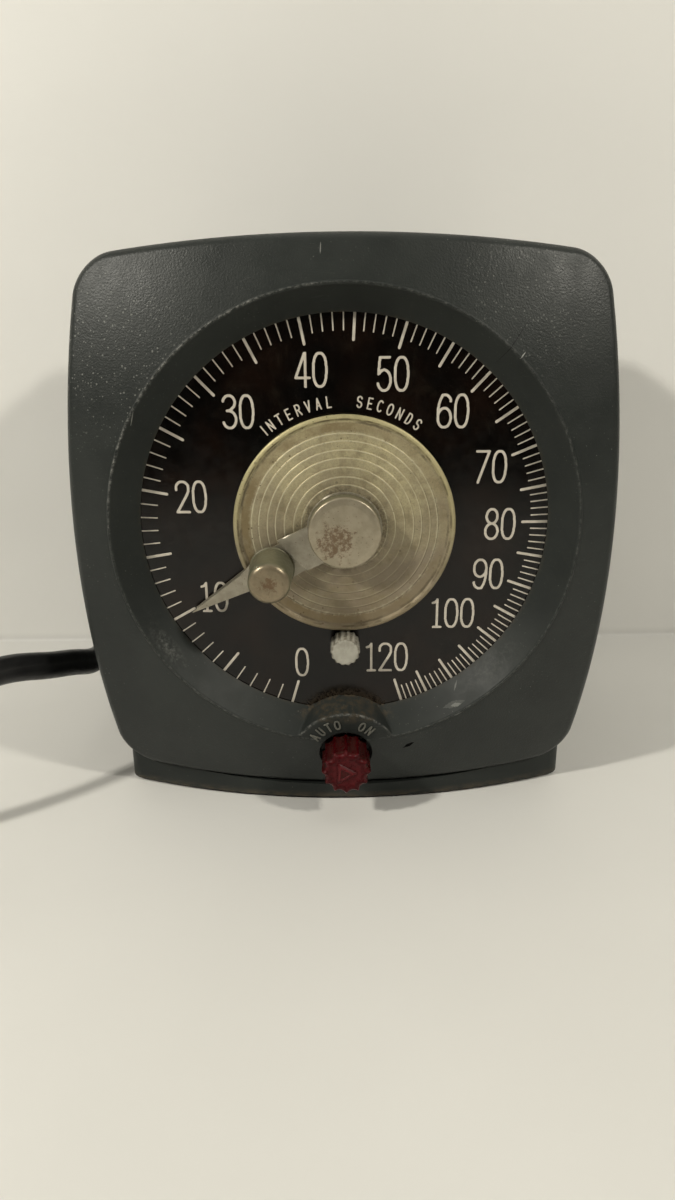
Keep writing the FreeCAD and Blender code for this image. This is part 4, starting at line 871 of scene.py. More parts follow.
def cover_field(x, y, k):
    r = np.hypot(x, y)
    boss_r = np.hypot(x, y - BOSS_Y)
    outline = face_outline(x, y)
    dome = np.sqrt(x * x + y * y + (k - (DOME_K - DOME_R)) ** 2) - DOME_R
    outer = smooth_max(outline, dome, 2.2)
    outer = smooth_max(outer, BACK_K - k, 0.5)
    cone = (r - (CONE_R + CONE_SLOPE * k)) * CONE_COS
    boss = (boss_r - (BOSS_R - k / BOSS_TAPER)) * BOSS_COS
    bead = np.hypot(r - BEAD_R, k - BEAD_K) - BEAD_SECTION_R
    outer = smooth_min(outer, np.maximum(bead, -boss - 0.3), 0.05)
    recess = np.maximum(smooth_max(cone, -boss, 1.0), -k)
    body = smooth_max(outer, -recess, 0.30)
    inner = np.maximum(outline + WALL, dome + WALL)
    keep = np.maximum(np.minimum(r - FLOOR_R, boss_r - BOSS_R), FLOOR_K - k)
    for post_x, post_y in POSTS:
        keep = np.minimum(keep, np.hypot(x - post_x, y - post_y) - POST_R)
    body = np.maximum(body, -np.maximum(inner, -keep))
    body = np.maximum(body, -np.maximum(r - OPENING_R, k))
    body = smooth_max(body, -np.maximum(boss_r - POCKET_R, POCKET_K - k), 0.45)
    return np.maximum(body, HOLE_R - boss_r)


def front_cover():
    # cylinder grid about the dial axis, finest at the bead and round the boss
    radii = spans((54.5, 68.2, 0.55 * COARSE), (68.2, 70.6, 0.20 * COARSE),
                  (70.6, 94, 0.62 * COARSE), (94, 111, 0.8 * COARSE))
    angles = spans((-107.0, -73.0, 0.28 * COARSE), (-73.0, 253.0, 0.5 * COARSE))
    depths = spans((-23.6, -8, 1.4), (-8, 17.6, 0.5 * COARSE), (17.6, 19.0, 0.7))
    verts, quads, normals = surface_net(
        cover_field, radii, angles[:-1] * math.pi / 180, depths,
        lambda r, a, k: (r * np.cos(a), r * np.sin(a), k), wrap=True)
    x, y, k = verts.T
    r = np.hypot(x, y)
    boss_r = np.hypot(x, y - BOSS_Y)
    deg = np.degrees(np.arctan2(y, x))
    front = k > -0.05
    on_cone = (r < 68.9) & front & (boss_r > 16)
    # soil at the foot of the boss; darker towards the inner edge of the cone
    grime = front * near(boss_r, 17.9, 3.0) * fade(k, 0.0, 5.0) * (r < 68.5)
    grime = np.maximum(grime, front * (r < 62.6) * fade(r, 61.0, 1.4) * 0.5)
    # rubbed spots low on the cone; a painted highlight line along the bead, strongest at the upper
    # left; edge wear and a painted highlight line on the front edge of the boss
    wear = on_cone * near(deg, -45, 13) * near(r, 64.8, 3.6) * 0.20
    wear = np.maximum(wear, on_cone * near(deg, -146, 9) * near(r, 66.5, 2.4) * 0.42)
    painted_bead_highlight = np.where((deg > 108) & (deg < 168), 1.25,
                          np.where((deg > 95) & (deg < 195), 0.75, 0.30))
    # painted highlight along the bead, strongest at the upper left
    wear = np.maximum(wear, front * near(r, BEAD_R, 0.5) * painted_bead_highlight)
    # edge wear and a painted highlight line along the front edge of the boss
    lip = np.abs(boss_r - (BOSS_R - k / BOSS_TAPER)) + np.abs(k - dome_at(x, y))
    wear = np.maximum(wear, front * (r < FLOOR_R) * fade(lip, 0.0, 0.75) * 0.95)
    peel = np.where(on_cone, 0.15, np.where(r > 69.8, 1.0, 0.3))
    make("timer_front_cover", verts, quads, "case", "grey_moulding",
         "front_cover", normals=normals, fix=False,
         attrs={"grime": grime, "wear": wear, "peel": peel})


# ------------------------------------------------------------------ marks on the dial
INK_LOW, INK_HIGH = -0.03, 0.05         # k of the ink
TICK_OUTER_R = 62.6
LONG_TICK = (53.6, 0.80)                # inner radius, width
SHORT_TICK = (56.4, 0.38)


def scale_marks():
    """Bars with a round inner end, four short ones between two long ones."""
    ticks = []
    for i, deg in enumerate(SCALE_DEG):
        ticks.append((deg, *LONG_TICK))
        if i + 1 < len(SCALE_DEG):
            gap = SCALE_DEG[i + 1] - deg
            ticks += [(deg + gap * j / 5, *SHORT_TICK) for j in range(1, 5)]
    verts, faces = [], []
    for deg, inner_r, width in ticks:
        a = math.radians(deg)
        out = np.array([-math.sin(a), -math.cos(a)])
        side = np.array([out[1], -out[0]])
        half = width / 2
        loop = []
        for j in range(9):
            t = math.pi * j / 8
            loop.append(out * (inner_r + half - math.sin(t) * half)
                        + side * (math.cos(t) * half))
        loop += [out * TICK_OUTER_R - side * half, out * TICK_OUTER_R + side * half]
        faces += loft(3, len(loop), base=len(verts), last_cap_first=True)
        centre = out * (inner_r + TICK_OUTER_R) / 2
        for k, inset in ((INK_LOW, 0.0), (INK_HIGH - 0.015, 0.0), (INK_HIGH, 0.03)):
            for p in loop:
                off = p - centre
                verts.append((*(p - off / np.linalg.norm(off) * inset), k))
    make("dial_scale_marks", verts, faces, "case", "cream_ink", angle=35)


def arc(cx, cy, rx, ry, start, end, steps=18, p=2.0):
    """Arc of a superellipse of power p, in degrees."""
    out = []
    for i in range(steps + 1):
        a = math.radians(start + (end - start) * i / steps)
        out.append((cx + rx * power(math.cos(a), 2 / p), cy + ry * power(math.sin(a), 2 / p)))
    return out


# Stroke lines of each character, centred on the origin, 9.3 high.
GLYPHS = {
    "0": [arc(0, 0, 1.87, 4.65, 0, 360, 48, 2.35)],
    "1": [[(-1.45, 3.45), (-0.75, 3.62), (-0.1, 4.35), (0, 4.62)], [(0, 4.62), (0, -4.65)],
          [(-1.15, -4.65), (1.15, -4.65)]],
    "2": [arc(0, 2.72, 1.85, 1.93, 196, -8, 22) + [(1.72, 1.65), (1.36, 0.75), (-1.75, -4.55)],
          [(-1.75, -4.65), (1.85, -4.65)]],
    "3": [arc(-0.05, 2.68, 1.72, 1.97, 168, -62, 22) + [(0.35, 0.48), (-0.62, 0.30)],
          [(-0.62, 0.30), (0.1, 0.26)] + arc(0, -2.20, 1.87, 2.45, 84, -160, 24)],
    "4": [[(0.62, 4.65), (-1.95, -2.15), (2.05, -2.15)], [(0.86, 4.65), (0.86, -4.65)],
          [(0.62, 4.65), (0.86, 4.65)]],
    "5": [[(1.55, 4.65), (-1.22, 4.65), (-1.62, 0.05)]
          + arc(0, -1.75, 1.87, 2.90, 138, -162, 26)],
    "6": [arc(0, 2.75, 1.78, 1.90, 2, 110, 12)
          + [(-1.25, 3.2), (-1.62, 1.9), (-1.85, 0.2), (-1.87, -1.9)],
          arc(0, -1.9, 1.87, 2.75, 0, 360, 40, 2.1)],
    "7": [[(-1.75, 4.65), (1.85, 4.65), (-1.25, -4.65)]],
    "8": [arc(0, 2.42, 1.62, 2.23, 0, 360, 36), arc(0, -2.25, 1.87, 2.40, 0, 360, 40)],
    "9": [arc(0, 1.9, 1.87, 2.75, 0, 360, 40, 2.1),
          [(1.87, 1.9), (1.85, -0.2), (1.62, -1.9), (1.25, -3.2)]
          + arc(0, -2.75, 1.78, 1.90, -70, -182, 12)],
    "A": [[(-1.9, -4.65), (0, 4.65), (1.9, -4.65)], [(-1.3, -1.7), (1.3, -1.7)]],
    "C": [arc(0, 0, 2.1, 4.65, 50, 310, 26, 2.2)],
    "D": [[(-1.8, -4.65), (-1.8, 4.65)],
          [(-1.8, 4.65)] + arc(-0.4, 0, 2.3, 4.65, 90, -90, 22, 2.3) + [(-1.8, -4.65)]],
    "E": [[(1.7, 4.65), (-1.6, 4.65), (-1.6, -4.65), (1.7, -4.65)], [(-1.6, 0.1), (1.2, 0.1)]],
    "I": [[(0, 4.65), (0, -4.65)]],
    "L": [[(-1.5, 4.65), (-1.5, -4.65), (1.7, -4.65)]],
    "N": [[(-1.9, -4.65), (-1.9, 4.65), (1.9, -4.65), (1.9, 4.65)]],
    "O": [arc(0, 0, 2.2, 4.65, 0, 360, 40, 2.2)],
    "R": [[(-1.8, -4.65), (-1.8, 4.65)] + arc(0, 2.3, 1.8, 2.35, 90, -90, 16, 2.3)
          + [(-1.8, -0.05)], [(0.1, -0.05), (1.95, -4.65)]],
    "S": [arc(0, 2.35, 1.85, 2.30, 20, 250, 22) + arc(0, -2.3, 1.9, 2.35, 70, -160, 22)],
    "T": [[(-2.0, 4.65), (2.0, 4.65)], [(0, 4.65), (0, -4.65)]],
    "U": [[(-1.9, 4.65), (-1.9, -2.2)] + arc(0, -2.3, 1.9, 2.35, 180, 360, 20)
          + [(1.9, -2.2), (1.9, 4.65)]],
    "V": [[(-2.0, 4.65), (0, -4.65), (2.0, 4.65)]],
}


def stroke_distance(x, y, lines):
    nearest = np.full(x.shape, 1e9)
    for line in lines:
        points = np.array(line, float)
        for a, b in zip(points[:-1], points[1:]):
            ab = b - a
            length2 = max(float(ab @ ab), 1e-12)
            t = np.clip(((x - a[0]) * ab[0] + (y - a[1]) * ab[1]) / length2, 0, 1)
            away = np.hypot(x - a[0] - t * ab[0], y - a[1] - t * ab[1])
            nearest = np.minimum(nearest, away)
    return nearest


def glyph_mesh(lines, half, low, high, cell):
    """Raised strokes of half width half between the heights low and high."""
    points = np.concatenate([np.array(line, float) for line in lines])
    start, end = points.min(0) - half - 2.2 * cell, points.max(0) + half + 2.2 * cell
    middle, rise = (low + high) / 2, (high - low) / 2

    def field(x, y, k):
        return smooth_max(stroke_distance(x, y, lines) - half, np.abs(k - middle) - rise,
                          min(0.35 * rise, 0.02))
    return surface_net(field, np.arange(start[0], end[0], cell),
                       np.arange(start[1], end[1], cell),
                       np.array([low - rise, middle, high + rise]), steps=5, limit=0.12)


def lettering(name, letters, half, cell, mat, scale=1.0, low=INK_LOW, high=INK_HIGH,
              lift=None):
    """letters: (character, centre x, centre y, degrees clockwise)."""
    glyphs, all_verts, all_faces, all_normals, base = {}, [], [], [], 0
    for char, x, y, turn in letters:
        if char not in glyphs:
            lines = [[(a * scale, b * scale) for a, b in line] for line in GLYPHS[char]]
            glyphs[char] = glyph_mesh(lines, half, low, high, cell)
        verts, quads, normals = glyphs[char]
        c, s = math.cos(math.radians(turn)), -math.sin(math.radians(turn))
        rotation = np.array([[c, -s, 0], [s, c, 0], [0, 0, 1]])
        verts, normals = verts @ rotation.T + (x, y, 0), normals @ rotation.T
        if lift is not None:
            verts[:, 2] += lift(verts[:, 0], verts[:, 1])
        all_verts.append(verts)
        all_normals.append(normals)
        all_faces.append(quads + base)
        base += len(verts)
    make(name, np.concatenate(all_verts), np.concatenate(all_faces), "case", mat,
         normals=np.concatenate(all_normals), fix=False)


def arched(words, radius, pitch, centre_y=0.0):
    """Letters on a circle; words in (text, middle in degrees clockwise from the top)."""
    letters = []
    for text, middle in words:
        widths = [(0.62 if char == "I" else 1.0) * pitch for char in text]
        at = middle - sum(widths) / 2
        for char, width in zip(text, widths):
            deg = at + width / 2
            at += width
            a = math.radians(deg)
            letters.append((char, radius * math.sin(a), centre_y + radius * math.cos(a), deg))
    return letters


# seconds: centre of the number in dial coordinates
NUMERALS = {"0": (-13.8, -45.1), "10": (-40.5, -22.7), "20": (-45.9, 9.1), "30": (-30.7, 34.1),
            "40": (-9.3, 45.7), "50": (14.1, 44.4), "60": (31.7, 33.8), "70": (43.6, 17.4),
            "80": (47.2, -0.1), "90": (44.4, -16.0), "100": (34.0, -28.8),
            "120": (13.4, -43.6)}
DIGIT_WIDTH, ONE_WIDTH = 5.0, 3.9


def dial_lettering():
    letters = []
    for text, (x, y) in NUMERALS.items():
        widths = [ONE_WIDTH if char == "1" else DIGIT_WIDTH for char in text]
        at = -sum(widths) / 2
        for char, width in zip(text, widths):
            letters.append((char, x + at + width / 2, y, 0))
            at += width
    lettering("dial_numerals", letters, half=0.425, cell=0.17,
              mat="cream_ink")
    small_cell = 0.09
    # legend round the centre disc
    lettering("dial_legend",
              arched((("INTERVAL", -22.6), ("SECONDS", 21.4)), radius=36.9, pitch=4.75),
              half=0.24, cell=small_cell, scale=0.33, mat="cream_ink")
    # raised words on the boss, following the dome
    lettering("boss_marks",
              arched((("AUTO", -34.3), ("ON", 32.4)), radius=12.0, pitch=14.2,
                     centre_y=BOSS_Y),
              half=0.27, low=-0.12, high=0.34, cell=small_cell, scale=0.345,
              mat="worn_mark", lift=dome_at)


# ------------------------------------------------------------------ centre disc
def centre_disc():
    bore_r, back_k = 3.05, 0.95
    profile = [(bore_r, back_k), (32.4, back_k, 0.5), (33.5, 1.5, 0.7), (33.45, 2.55, 0.6),
               (32.3, 2.6, 0.55), (31.7, 1.96, 0.25)]
    k = 1.95
    for r in STEP_RADII:
        profile += [(r + 0.42, k, 0.10), (r + 0.24, k - 0.03, 0.06),
                    (r + 0.02, k + 0.22, 0.09), (r - 0.34, k + 0.13, 0.10)]
        k += 0.13
    profile.append((bore_r, k))
    verts, faces = lathe(rounded(profile, 3), 300, closed=True)
    make("timer_centre_disc", verts, faces, "elapsed_hand", "spun_aluminium",
         "centre_disc", angle=30)


# ------------------------------------------------------------------ knobs
# turned profiles in (radius, k, corner radius)
HUB = [(0, 5.1), (10.6, 5.1, 0.15), (10.9, 5.35, 0.15), (10.86, 8.9), (10.78, 10.05, 1.15),
       (8.6, 10.37, 3.0), (0, 10.5)]
FINGER = [(0, 3.72), (6.75, 3.72, 0.12), (6.9, 3.9, 0.12), (6.9, 4.4, 0.15),
          (6.52, 4.75, 0.25), (6.40, 12.0), (6.24, 19.42, 2.1), (1.2, 19.32, 0.6), (0, 19.26)]
FINGER_ARM = 25.3                       # finger knob from the dial centre
# lobed profiles in (inset, k)
TRIM = [(None, 0.32), (0.15, 0.32), (0.0, 0.5), (0.0, 4.0), (0.0, 7.7), (0.10, 8.1),
        (0.32, 8.42), (0.62, 8.56), (1.0, 8.6), (1.7, 8.57), (2.6, 8.52), (None, 8.50)]
SELECTOR = [(None, 4.8), (0.4, 4.8), (0.15, 5.1), (0.15, 9.0), (0.10, 14.0), (0.0, 17.6),
            (0.06, 18.4), (0.30, 19.0), (0.75, 19.42), (1.3, 19.58), (2.0, 19.6),
            (2.4, 19.42), (2.9, 19.36), (4.2, 19.34), (5.6, 19.34), (None, 19.34)]


def hub_knob():
    verts, faces = lathe(rounded(HUB, 8), 160)
    k = verts[:, 2]
    make("timer_hub_lock_knob", verts, faces, "hub_knob", "hub",
         "hub_lock_knob", angle=40,
         # side marks the side wall, where the painted shade goes
         attrs={"grime": fade(k, 5.1, 1.4), "side": fade(k, 9.2, 0.5)})


def finger_knob():
    a = math.radians(POINTER_DEG)
    verts, faces = lathe(rounded(FINGER, 7), 144,
                         -FINGER_ARM * math.sin(a), -FINGER_ARM * math.cos(a))
    k = verts[:, 2]
    make("timer_finger_knob", verts, faces, "setting_hand", "finger",
         "finger_knob", angle=40,
         # side marks the side wall, where the painted shade goes
         attrs={"grime": fade(k, 4.4, 1.6) * 0.7, "side": fade(k, 18.1, 0.8)})


def trim_knob():
    section = scallops(count=14, disc_r=4.55, flute_centre=5.17, flute_r=0.95, soft=0.12)
    verts, faces = lobed(TRIM, section, 280, TRIM_Y)
    x, y, k = verts.T
    r = np.hypot(x, y - TRIM_Y)
    # soil in the flutes and at the foot; darker on the upper part of the face
    grime = fade(r, 4.27, 0.25) * (r > 4.0) * 0.9
    grime = np.maximum(grime, fade(k, 0.3, 3.0))
    grime = np.maximum(grime, 0.25 * (y > -37.0) * (k > 7.5))
    make("timer_trim_knob", verts, faces, "trim", "pale_grey_plastic",
         "trim_knob", attrs={"grime": grime}, angle=35)


def selector_knob():
    section = scallops(count=12, disc_r=7.7, flute_centre=8.97, flute_r=2.27, soft=0.22)
    verts, faces = lobed(SELECTOR, section, 360, BOSS_Y)
    x, y, k = verts.T
    r = np.hypot(x, y - BOSS_Y)
    grime = fade(r, 7.05, 0.5) * (r > 6.4) * (k < 18.6) * 0.8
    grime = np.maximum(grime, fade(k, 4.8, 4.0))
    make("timer_selector_knob", verts, faces, "selector", "red_plastic",
         "selector_knob", attrs={"wear": near(k, 19.2, 0.5) * 0.8, "grime": grime}, angle=38)


ARROW_CORNERS = [(3.9, 0), (-2.9, 4.0), (-2.9, -4.0)]       # from the knob centre
ARROW_CORNER_R = 0.45
ARROW_LEVELS = [(19.2, 0.0), (19.5, 0.02), (19.72, 0.16), (20.22, 0.80), (20.30, 0.95),
                (20.28, 1.10), (19.95, 1.32)]               # k, inset


def selector_arrow():
    """Raised triangle on the selector knob, pointing right, dished on top."""
    corners = np.array(ARROW_CORNERS, float)
    edges = corners - np.roll(corners, 1, 0)
    edges /= np.linalg.norm(edges, axis=1)[:, None]
    before = np.c_[edges[:, 1], -edges[:, 0]]
    after = np.roll(before, -1, 0)
    mitre = (before + after) / (1 + (before * after).sum(1))[:, None]
    verts = []
    for k, inset in ARROW_LEVELS:
        moved = corners - mitre * inset
        middle = tuple((moved[0] + moved[-1]) / 2)
        loop = [middle] + [(*p, ARROW_CORNER_R) for p in moved] + [middle]
        loop = rounded(loop, 5)[:-1]
        verts += [(x, y + BOSS_Y, k) for x, y in loop]
    k = np.array(verts)[:, 2]
    make("selector_arrow", verts, loft(len(ARROW_LEVELS), len(loop), last_cap_first=True),
         "selector", "red_plastic", angle=30,
         attrs={"wear": np.where(k > 20.1, 1.0, np.where(k > 19.6, 0.35, 0.0)),
                "grime": np.where(np.abs(k - 19.95) < 0.02, 0.8, 0.0)})


# ------------------------------------------------------------------ setting pointer
SHEET_HALF = 0.40                       # half the thickness of the sheet
RING_K, BLADE_K = 4.6, 3.3              # middle of the ring and tab, and of the blade
RING_R, POINTER_BORE_R = 11.3, 3.05
FOLD_WIDTH = 0.85
BLADE_X = [15.0, 22.0, 29.0, 35.0, 54.2, 55.0]
BLADE_HALF = [5.5, 5.6, 4.9, 2.9, 0.10, 0.02]       # half width of the blade at BLADE_X
BLADE_END = 54.25


def pointer_field(x, y, k):
    """Sheet pointer along x: ring, tab with slanted edges, web at the fold, blade."""
    sheet = np.abs(k - RING_K) - SHEET_HALF
    ring = np.maximum(np.hypot(x, y) - RING_R, sheet)
    upper = y - (6.4 - (x - 6.0) * 0.077)
    lower = -(y + 6.0) - (x - 6.0) * 0.0763
    fold = x - (18.9 - (y + 5.0) * 0.2547)
    tab = np.maximum(np.maximum(np.maximum(upper, lower), 5.0 - x), np.maximum(fold, sheet))
    past_fold = -(fold + FOLD_WIDTH)
    web = np.maximum(np.maximum(fold, past_fold),
                     np.maximum(np.maximum(y - 5.5, -(y + 4.9)), np.abs(k - 3.95) - 1.05))
    half = np.interp(x, BLADE_X, BLADE_HALF)
    blade = np.maximum((np.abs(y) - half) * 0.985, np.maximum(past_fold, x - BLADE_END))
    blade = np.maximum(blade, np.abs(k - BLADE_K) - SHEET_HALF)
    solid = np.minimum(smooth_min(ring, tab, 0.15), smooth_min(web, blade, 0.12))
    solid = np.minimum(solid, smooth_min(tab, web, 0.12))
    return np.maximum(solid, POINTER_BORE_R - np.hypot(x, y))


def setting_pointer():
    grid_x = spans((-11.9, 12, 0.5 * COARSE), (12, 22, 0.30 * COARSE),
                   (22, 54.9, 0.45 * COARSE))
    grid_y = spans((-11.9, -6.3, 0.5 * COARSE), (-6.3, 6.7, 0.16 * COARSE),
                   (6.7, 12, 0.5 * COARSE))
    grid_k = np.array([2.60, 2.86, 2.94, 3.1, 3.5, 3.66, 3.74, 4.0, 4.16, 4.24, 4.5, 4.96,
                       5.04, 5.3])
    verts, quads, _ = surface_net(pointer_field, grid_x, grid_y, grid_k, steps=5, limit=0.15)
    a = math.radians(-(90.0 + POINTER_DEG))
    rotation = np.array([[math.cos(a), -math.sin(a), 0], [math.sin(a), math.cos(a), 0],
                         [0, 0, 1]])
    make("timer_setting_pointer", verts @ rotation.T, quads, "setting_hand", "pointer",
         "setting_pointer", fix=False, angle=38,
         attrs={"grime": np.zeros(len(verts))})


# ------------------------------------------------------------------ cord, relief and plug
# centre line of the cord in the row frame, from inside the case to the plug
CORD = np.array([
    (-40, 36, 40), (-40, 50, 40), (-42, 64, 39.6), (-56, 76, 37), (-78, 66, 33.5),
    (-90, 40, 32), (-91.5, 14, 32.6), (-92.4, -9, 34.4), (-95.0, -18.5, 38.1),
    (-99.5, -31, 42.5), (-110, -52, 49.2), (-128, -72, 41.5), (-149, -80, 22.5),
    (-168, -68, 8.4), (-178, -42, 4.75), (-180, -16, 4.75), (-180, -4, 4.75)], float)
CORD_HALF = (3.1, 4.6)                  # half width and half height of the section
RELIEF_X, RELIEF_Z = -40.0, 40.0
# ribbed sleeve in (radius, k, corner radius)
RELIEF = [
    (5.3, -91.1), (7.6, -91.1, 0.2), (7.6, -91.55, 0.1), (6.2, -91.56), (6.2, -95.0),
    (8.4, -95.02, 0.3), (8.2, -97.2, 0.3), (7.4, -97.4, 0.2), (7.3, -98.3, 0.2),
    (7.9, -98.5, 0.3), (7.6, -99.9, 0.3), (6.9, -100.1, 0.2), (6.8, -101.0, 0.2),
    (7.2, -101.2, 0.3), (6.9, -102.6, 0.3), (6.3, -102.8, 0.2), (6.2, -103.6, 0.2),
    (6.4, -103.9, 0.2), (6.2, -104.0), (5.3, -104.0)]
# plug sections: y, half width, lower z, upper z
PLUG = [(-5.0, 4.4, 0.3, 9.9), (-4.2, 4.7, 0.1, 10.25), (2.0, 5.6, 0.03, 11.6),
        (8.0, 7.0, 0.02, 13.4), (16.0, 10.6, 0.02, 15.6), (22.6, 12.1, 0.02, 16.8),
        (23.6, 12.2, 0.1, 16.85), (24.0, 11.7, 0.6, 16.3)]
PLUG_X = -180


def natural_spline(points, count):
    """Natural cubic spline through points by chord length, count points along it."""
    t = np.r_[0, np.cumsum(np.linalg.norm(np.diff(points, axis=0), axis=1))]
    n = len(points)
    h = np.diff(t)
    system = np.zeros((n, n))
    right = np.zeros((n, 3))
    system[0, 0] = system[-1, -1] = 1
    for i in range(1, n - 1):
        system[i, i - 1:i + 2] = h[i - 1], 2 * (h[i - 1] + h[i]), h[i]
        right[i] = 6 * ((points[i + 1] - points[i]) / h[i]
                        - (points[i] - points[i - 1]) / h[i - 1])
    bend = np.linalg.solve(system, right)
    s = np.linspace(0, t[-1], count)
    i = np.clip(np.searchsorted(t, s) - 1, 0, n - 2)
    d = (s - t[i])[:, None]
    h = h[i][:, None]
    slope = (points[i + 1] - points[i]) / h - h * (2 * bend[i] + bend[i + 1]) / 6
    return points[i] + slope * d + bend[i] / 2 * d ** 2 + (bend[i + 1] - bend[i]) / (6 * h) * d ** 3


def power_cord():
    """Flat twin cord: an oval section with a waist, swept along the centre line."""
    section = []
    for i in range(40):
        a = 2 * math.pi * i / 40
        across = CORD_HALF[0] * power(math.cos(a), 0.86)
        up = CORD_HALF[1] * power(math.sin(a), 0.92)
        section.append((across * (1 - 0.16 * math.exp(-(up / 0.9) ** 2)), up))
    path = natural_spline(CORD, 320)
    tangent = np.gradient(path, axis=0)
    tangent /= np.linalg.norm(tangent, axis=1)[:, None]
    side = np.cross(tangent, (0.0, 0.0, 1.0))
    side /= np.linalg.norm(side, axis=1)[:, None]
    top = np.cross(side, tangent)
    verts = [p + s * a + u * b for p, s, u in zip(path, side, top) for a, b in section]
    make("timer_power_cord", verts, loft(len(path), len(section)), "case", "black_rubber",
         "power_cord", dial=False, angle=50)


def strain_relief():
    verts, faces = lathe(rounded(RELIEF, 3), 64, RELIEF_X, RELIEF_Z - DIAL_Z, closed=True)
    make("timer_strain_relief", verts, faces, "case", "black_rubber",
         "strain_relief", angle=40)


def plug_body():
    """Moulded plug lying along y: rounded sections, ribs of 3 mm pitch on the grip."""
    sides, corner_power = 56, 0.42
    stations, *columns = zip(*PLUG)
    ys = sorted(set(stations) | set(np.arange(-3.5, 15.5, 0.5)))
    verts = []
    for y in ys:
        half_x, low, high = [float(np.interp(y, stations, column)) for column in columns]
        if -3 < y < 15:
            half_x -= 0.45 * (0.5 - 0.5 * math.cos((y + 3) * 2 * math.pi / 3.0))
        for j in range(sides):
            a = 2 * math.pi * j / sides
            verts.append((PLUG_X + half_x * power(math.cos(a), corner_power), y,
                          (low + high) / 2
                          + (high - low) / 2 * power(math.sin(a), corner_power)))
    make("timer_plug_body", verts, loft(len(ys), sides), "case", "black_rubber",
         "plug_body", dial=False, angle=45)


# ------------------------------------------------------------------ stage, in metres
def floor_material():
    m = Mat("studio_floor", colour=(0.76, 0.75, 0.72))
    m.paint(m.patch(scale=0.006, detail=3, rough=0.5, low=0.3, high=0.7), (0.80, 0.79, 0.76))
    # the level floor is slightly darker than the wall
    level = m.step(m.xyz()[2], low=1.0, high=5.0, to=FALL)
    m.set(Base_Color=m.mix(level, m.colour, (0.90, 0.90, 0.90), "MULTIPLY"), Roughness=0.62,
          Normal=m.bump(m.noise(0.3, detail=3, rough=0.5), strength=0.05, distance=0.1))
    # seen from behind or below, the stage lets the camera through
    geometry = m.node("ShaderNodeNewGeometry")
    clear = m.node("ShaderNodeBsdfTransparent")
    mixer = m.node("ShaderNodeMixShader")
    m.link(geometry.outputs["Backfacing"], mixer.inputs[0])
    m.link(m.shader.outputs[0], mixer.inputs[1])
    m.link(clear.outputs[0], mixer.inputs[2])
    m.link(mixer.outputs[0], m.output.inputs[0])
    return m.material


def studio_floor():
    """Floor that turns up into a wall close behind the timer."""
    wall_start, bend_r, half_width = 0.094, 0.0015, 1.6
    profile = [(-0.50, 0.0), (0.0, 0.0), (wall_start, 0.0)]
    for i in range(1, 9):
        a = math.pi / 2 * i / 8
        profile.append((wall_start + bend_r * math.sin(a), bend_r - bend_r * math.cos(a)))
    profile.append((wall_start + bend_r, 1.6))
    points = [(x, y, z) for y, z in profile for x in (-half_width, half_width)]
    faces = [(i, i + 1, i + 3, i + 2) for i in range(0, len(points) - 2, 2)]
    material = floor_material()
    mesh = bpy.data.meshes.new("studio_floor")
    mesh.from_pydata(points, [], faces)
    mesh.polygons.foreach_set("use_smooth", [True] * len(mesh.polygons))
    mesh.materials.append(material)
    ob = bpy.data.objects.new("studio_floor", mesh)
    bpy.context.scene.collection.objects.link(ob)


def area_light(name, direction, distance, size, power, colour):
    """Elliptic light aimed at the timer, placed along direction from it."""
    light = bpy.data.lights.new(name, "AREA")
    light.shape = "ELLIPSE"
    light.size, light.size_y = size
    light.energy = power
    light.color = colour
    ob = bpy.data.objects.new(name, light)
    away = Vector(direction).normalized()
    ob.location = Vector((0, -0.03, 0.095)) + away * distance
    ob.rotation_euler = (-away).to_track_quat("-Z", "Y").to_euler()
    bpy.context.scene.collection.objects.link(ob)


def lights():
    area_light("key_left", direction=(-0.68, -0.50, 0.58), distance=0.95,
               size=(0.070, 0.070), power=5.9, colour=(1.0, 0.965, 0.865))
    area_light("key_right", direction=(0.66, -0.52, 0.60), distance=1.05,
               size=(0.085, 0.085), power=4.9, colour=(1.0, 0.96, 0.85))
    area_light("top_soft", direction=(0.05, 0.05, 1.0), distance=1.2,
               size=(1.2, 0.9), power=1.8, colour=(1.0, 0.985, 0.91))


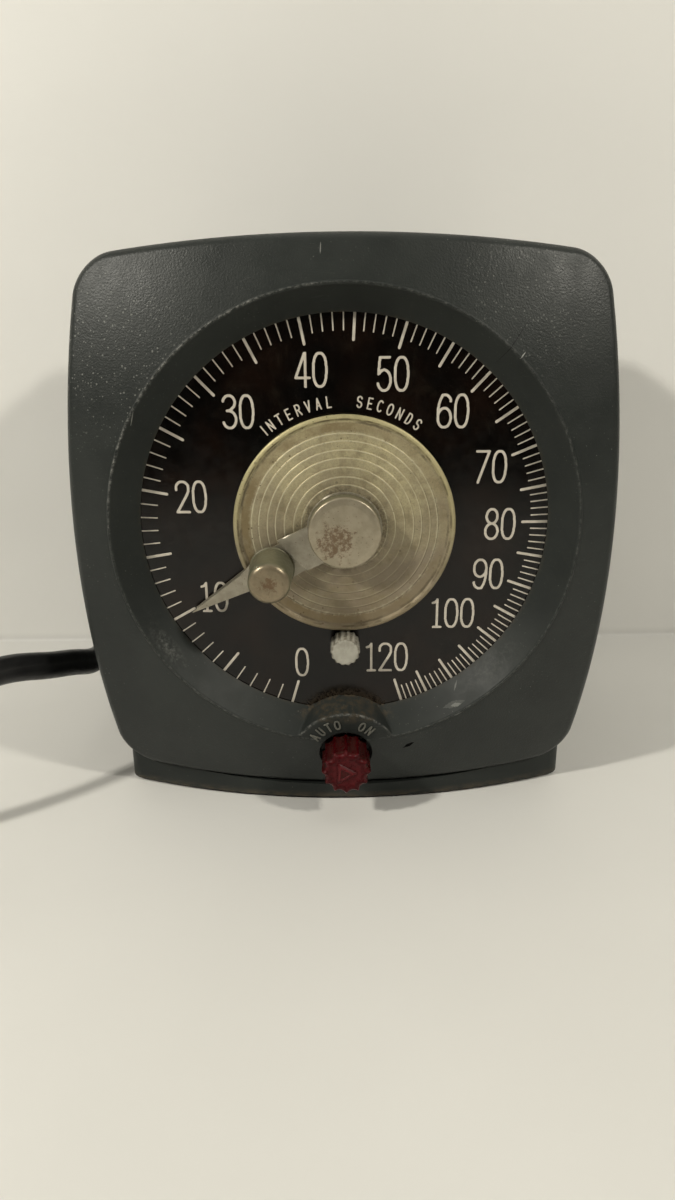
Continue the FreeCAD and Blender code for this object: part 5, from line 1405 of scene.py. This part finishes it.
def world():
    """Light that grows with height, and an even backdrop for the camera."""
    studio = bpy.data.worlds.new("studio")
    bpy.context.scene.world = studio
    studio.use_nodes = True
    tree = studio.node_tree
    tree.nodes.clear()
    link = tree.links.new
    output = tree.nodes.new("ShaderNodeOutputWorld")
    light = tree.nodes.new("ShaderNodeBackground")
    coords = tree.nodes.new("ShaderNodeTexCoord")
    split = tree.nodes.new("ShaderNodeSeparateXYZ")
    link(coords.outputs["Generated"], split.inputs[0])
    strength = tree.nodes.new("ShaderNodeMapRange")
    for key, value in (("From Min", -0.20), ("From Max", 0.85), ("To Min", 0.005),
                       ("To Max", 0.155)):
        strength.inputs[key].default_value = value
    link(split.outputs[2], strength.inputs["Value"])
    light.inputs["Color"].default_value = (1.0, 0.975, 0.885, 1)
    link(strength.outputs[0], light.inputs["Strength"])
    backdrop = tree.nodes.new("ShaderNodeBackground")
    backdrop.inputs["Color"].default_value = (0.60, 0.57, 0.50, 1)
    backdrop.inputs["Strength"].default_value = 0.80
    mixer = tree.nodes.new("ShaderNodeMixShader")
    path = tree.nodes.new("ShaderNodeLightPath")
    link(path.outputs["Is Camera Ray"], mixer.inputs[0])
    link(light.outputs[0], mixer.inputs[1])
    link(backdrop.outputs[0], mixer.inputs[2])
    link(mixer.outputs[0], output.inputs[0])
    view = bpy.context.scene.view_settings
    view.view_transform = "Standard"
    view.look = "None"
    view.exposure = 0.0


# Camera axes here are x right, y down, z forward.
LENS, SENSOR = 25.98, 36.0
CAMERA_TURN = (19.60, -0.35)            # degrees about camera x and y, as one rotation
CAMERA_ROLL = -0.5                      # degrees
DIAL_IN_CAMERA = Vector((2.0927461, -22.7169105, 262.6548))     # dial centre, mm


def camera():
    turn_x, turn_y = map(math.radians, CAMERA_TURN)
    angle = math.hypot(turn_x, turn_y)
    turn = Matrix.Rotation(angle, 3, Vector((turn_x / angle, turn_y / angle, 0)))
    roll = Matrix.Rotation(math.radians(CAMERA_ROLL), 3, "Z")
    level = Matrix(((1, 0, 0), (0, 0, -1), (0, 1, 0)))      # row frame to a level camera
    axes = turn @ roll @ level
    eye = (Vector((0, DIAL_Y, DIAL_Z)) - axes.transposed() @ DIAL_IN_CAMERA) * MM
    data = bpy.data.cameras.new("camera")
    data.sensor_width = SENSOR
    data.lens = LENS
    data.clip_start, data.clip_end = 0.01, 20
    ob = bpy.data.objects.new("camera", data)
    bpy.context.scene.collection.objects.link(ob)
    right, down, forward = axes
    placed = Matrix((right, -down, -forward)).transposed().to_4x4()
    placed.translation = eye
    ob.matrix_world = placed
    bpy.context.scene.camera = ob


dress_cad()
for build in (front_cover, scale_marks, dial_lettering, centre_disc, hub_knob, finger_knob,
              trim_knob, selector_knob, selector_arrow, setting_pointer, power_cord,
              strain_relief, plug_body, studio_floor, lights, world, camera):
    build()

bpy.context.view_layer.update()
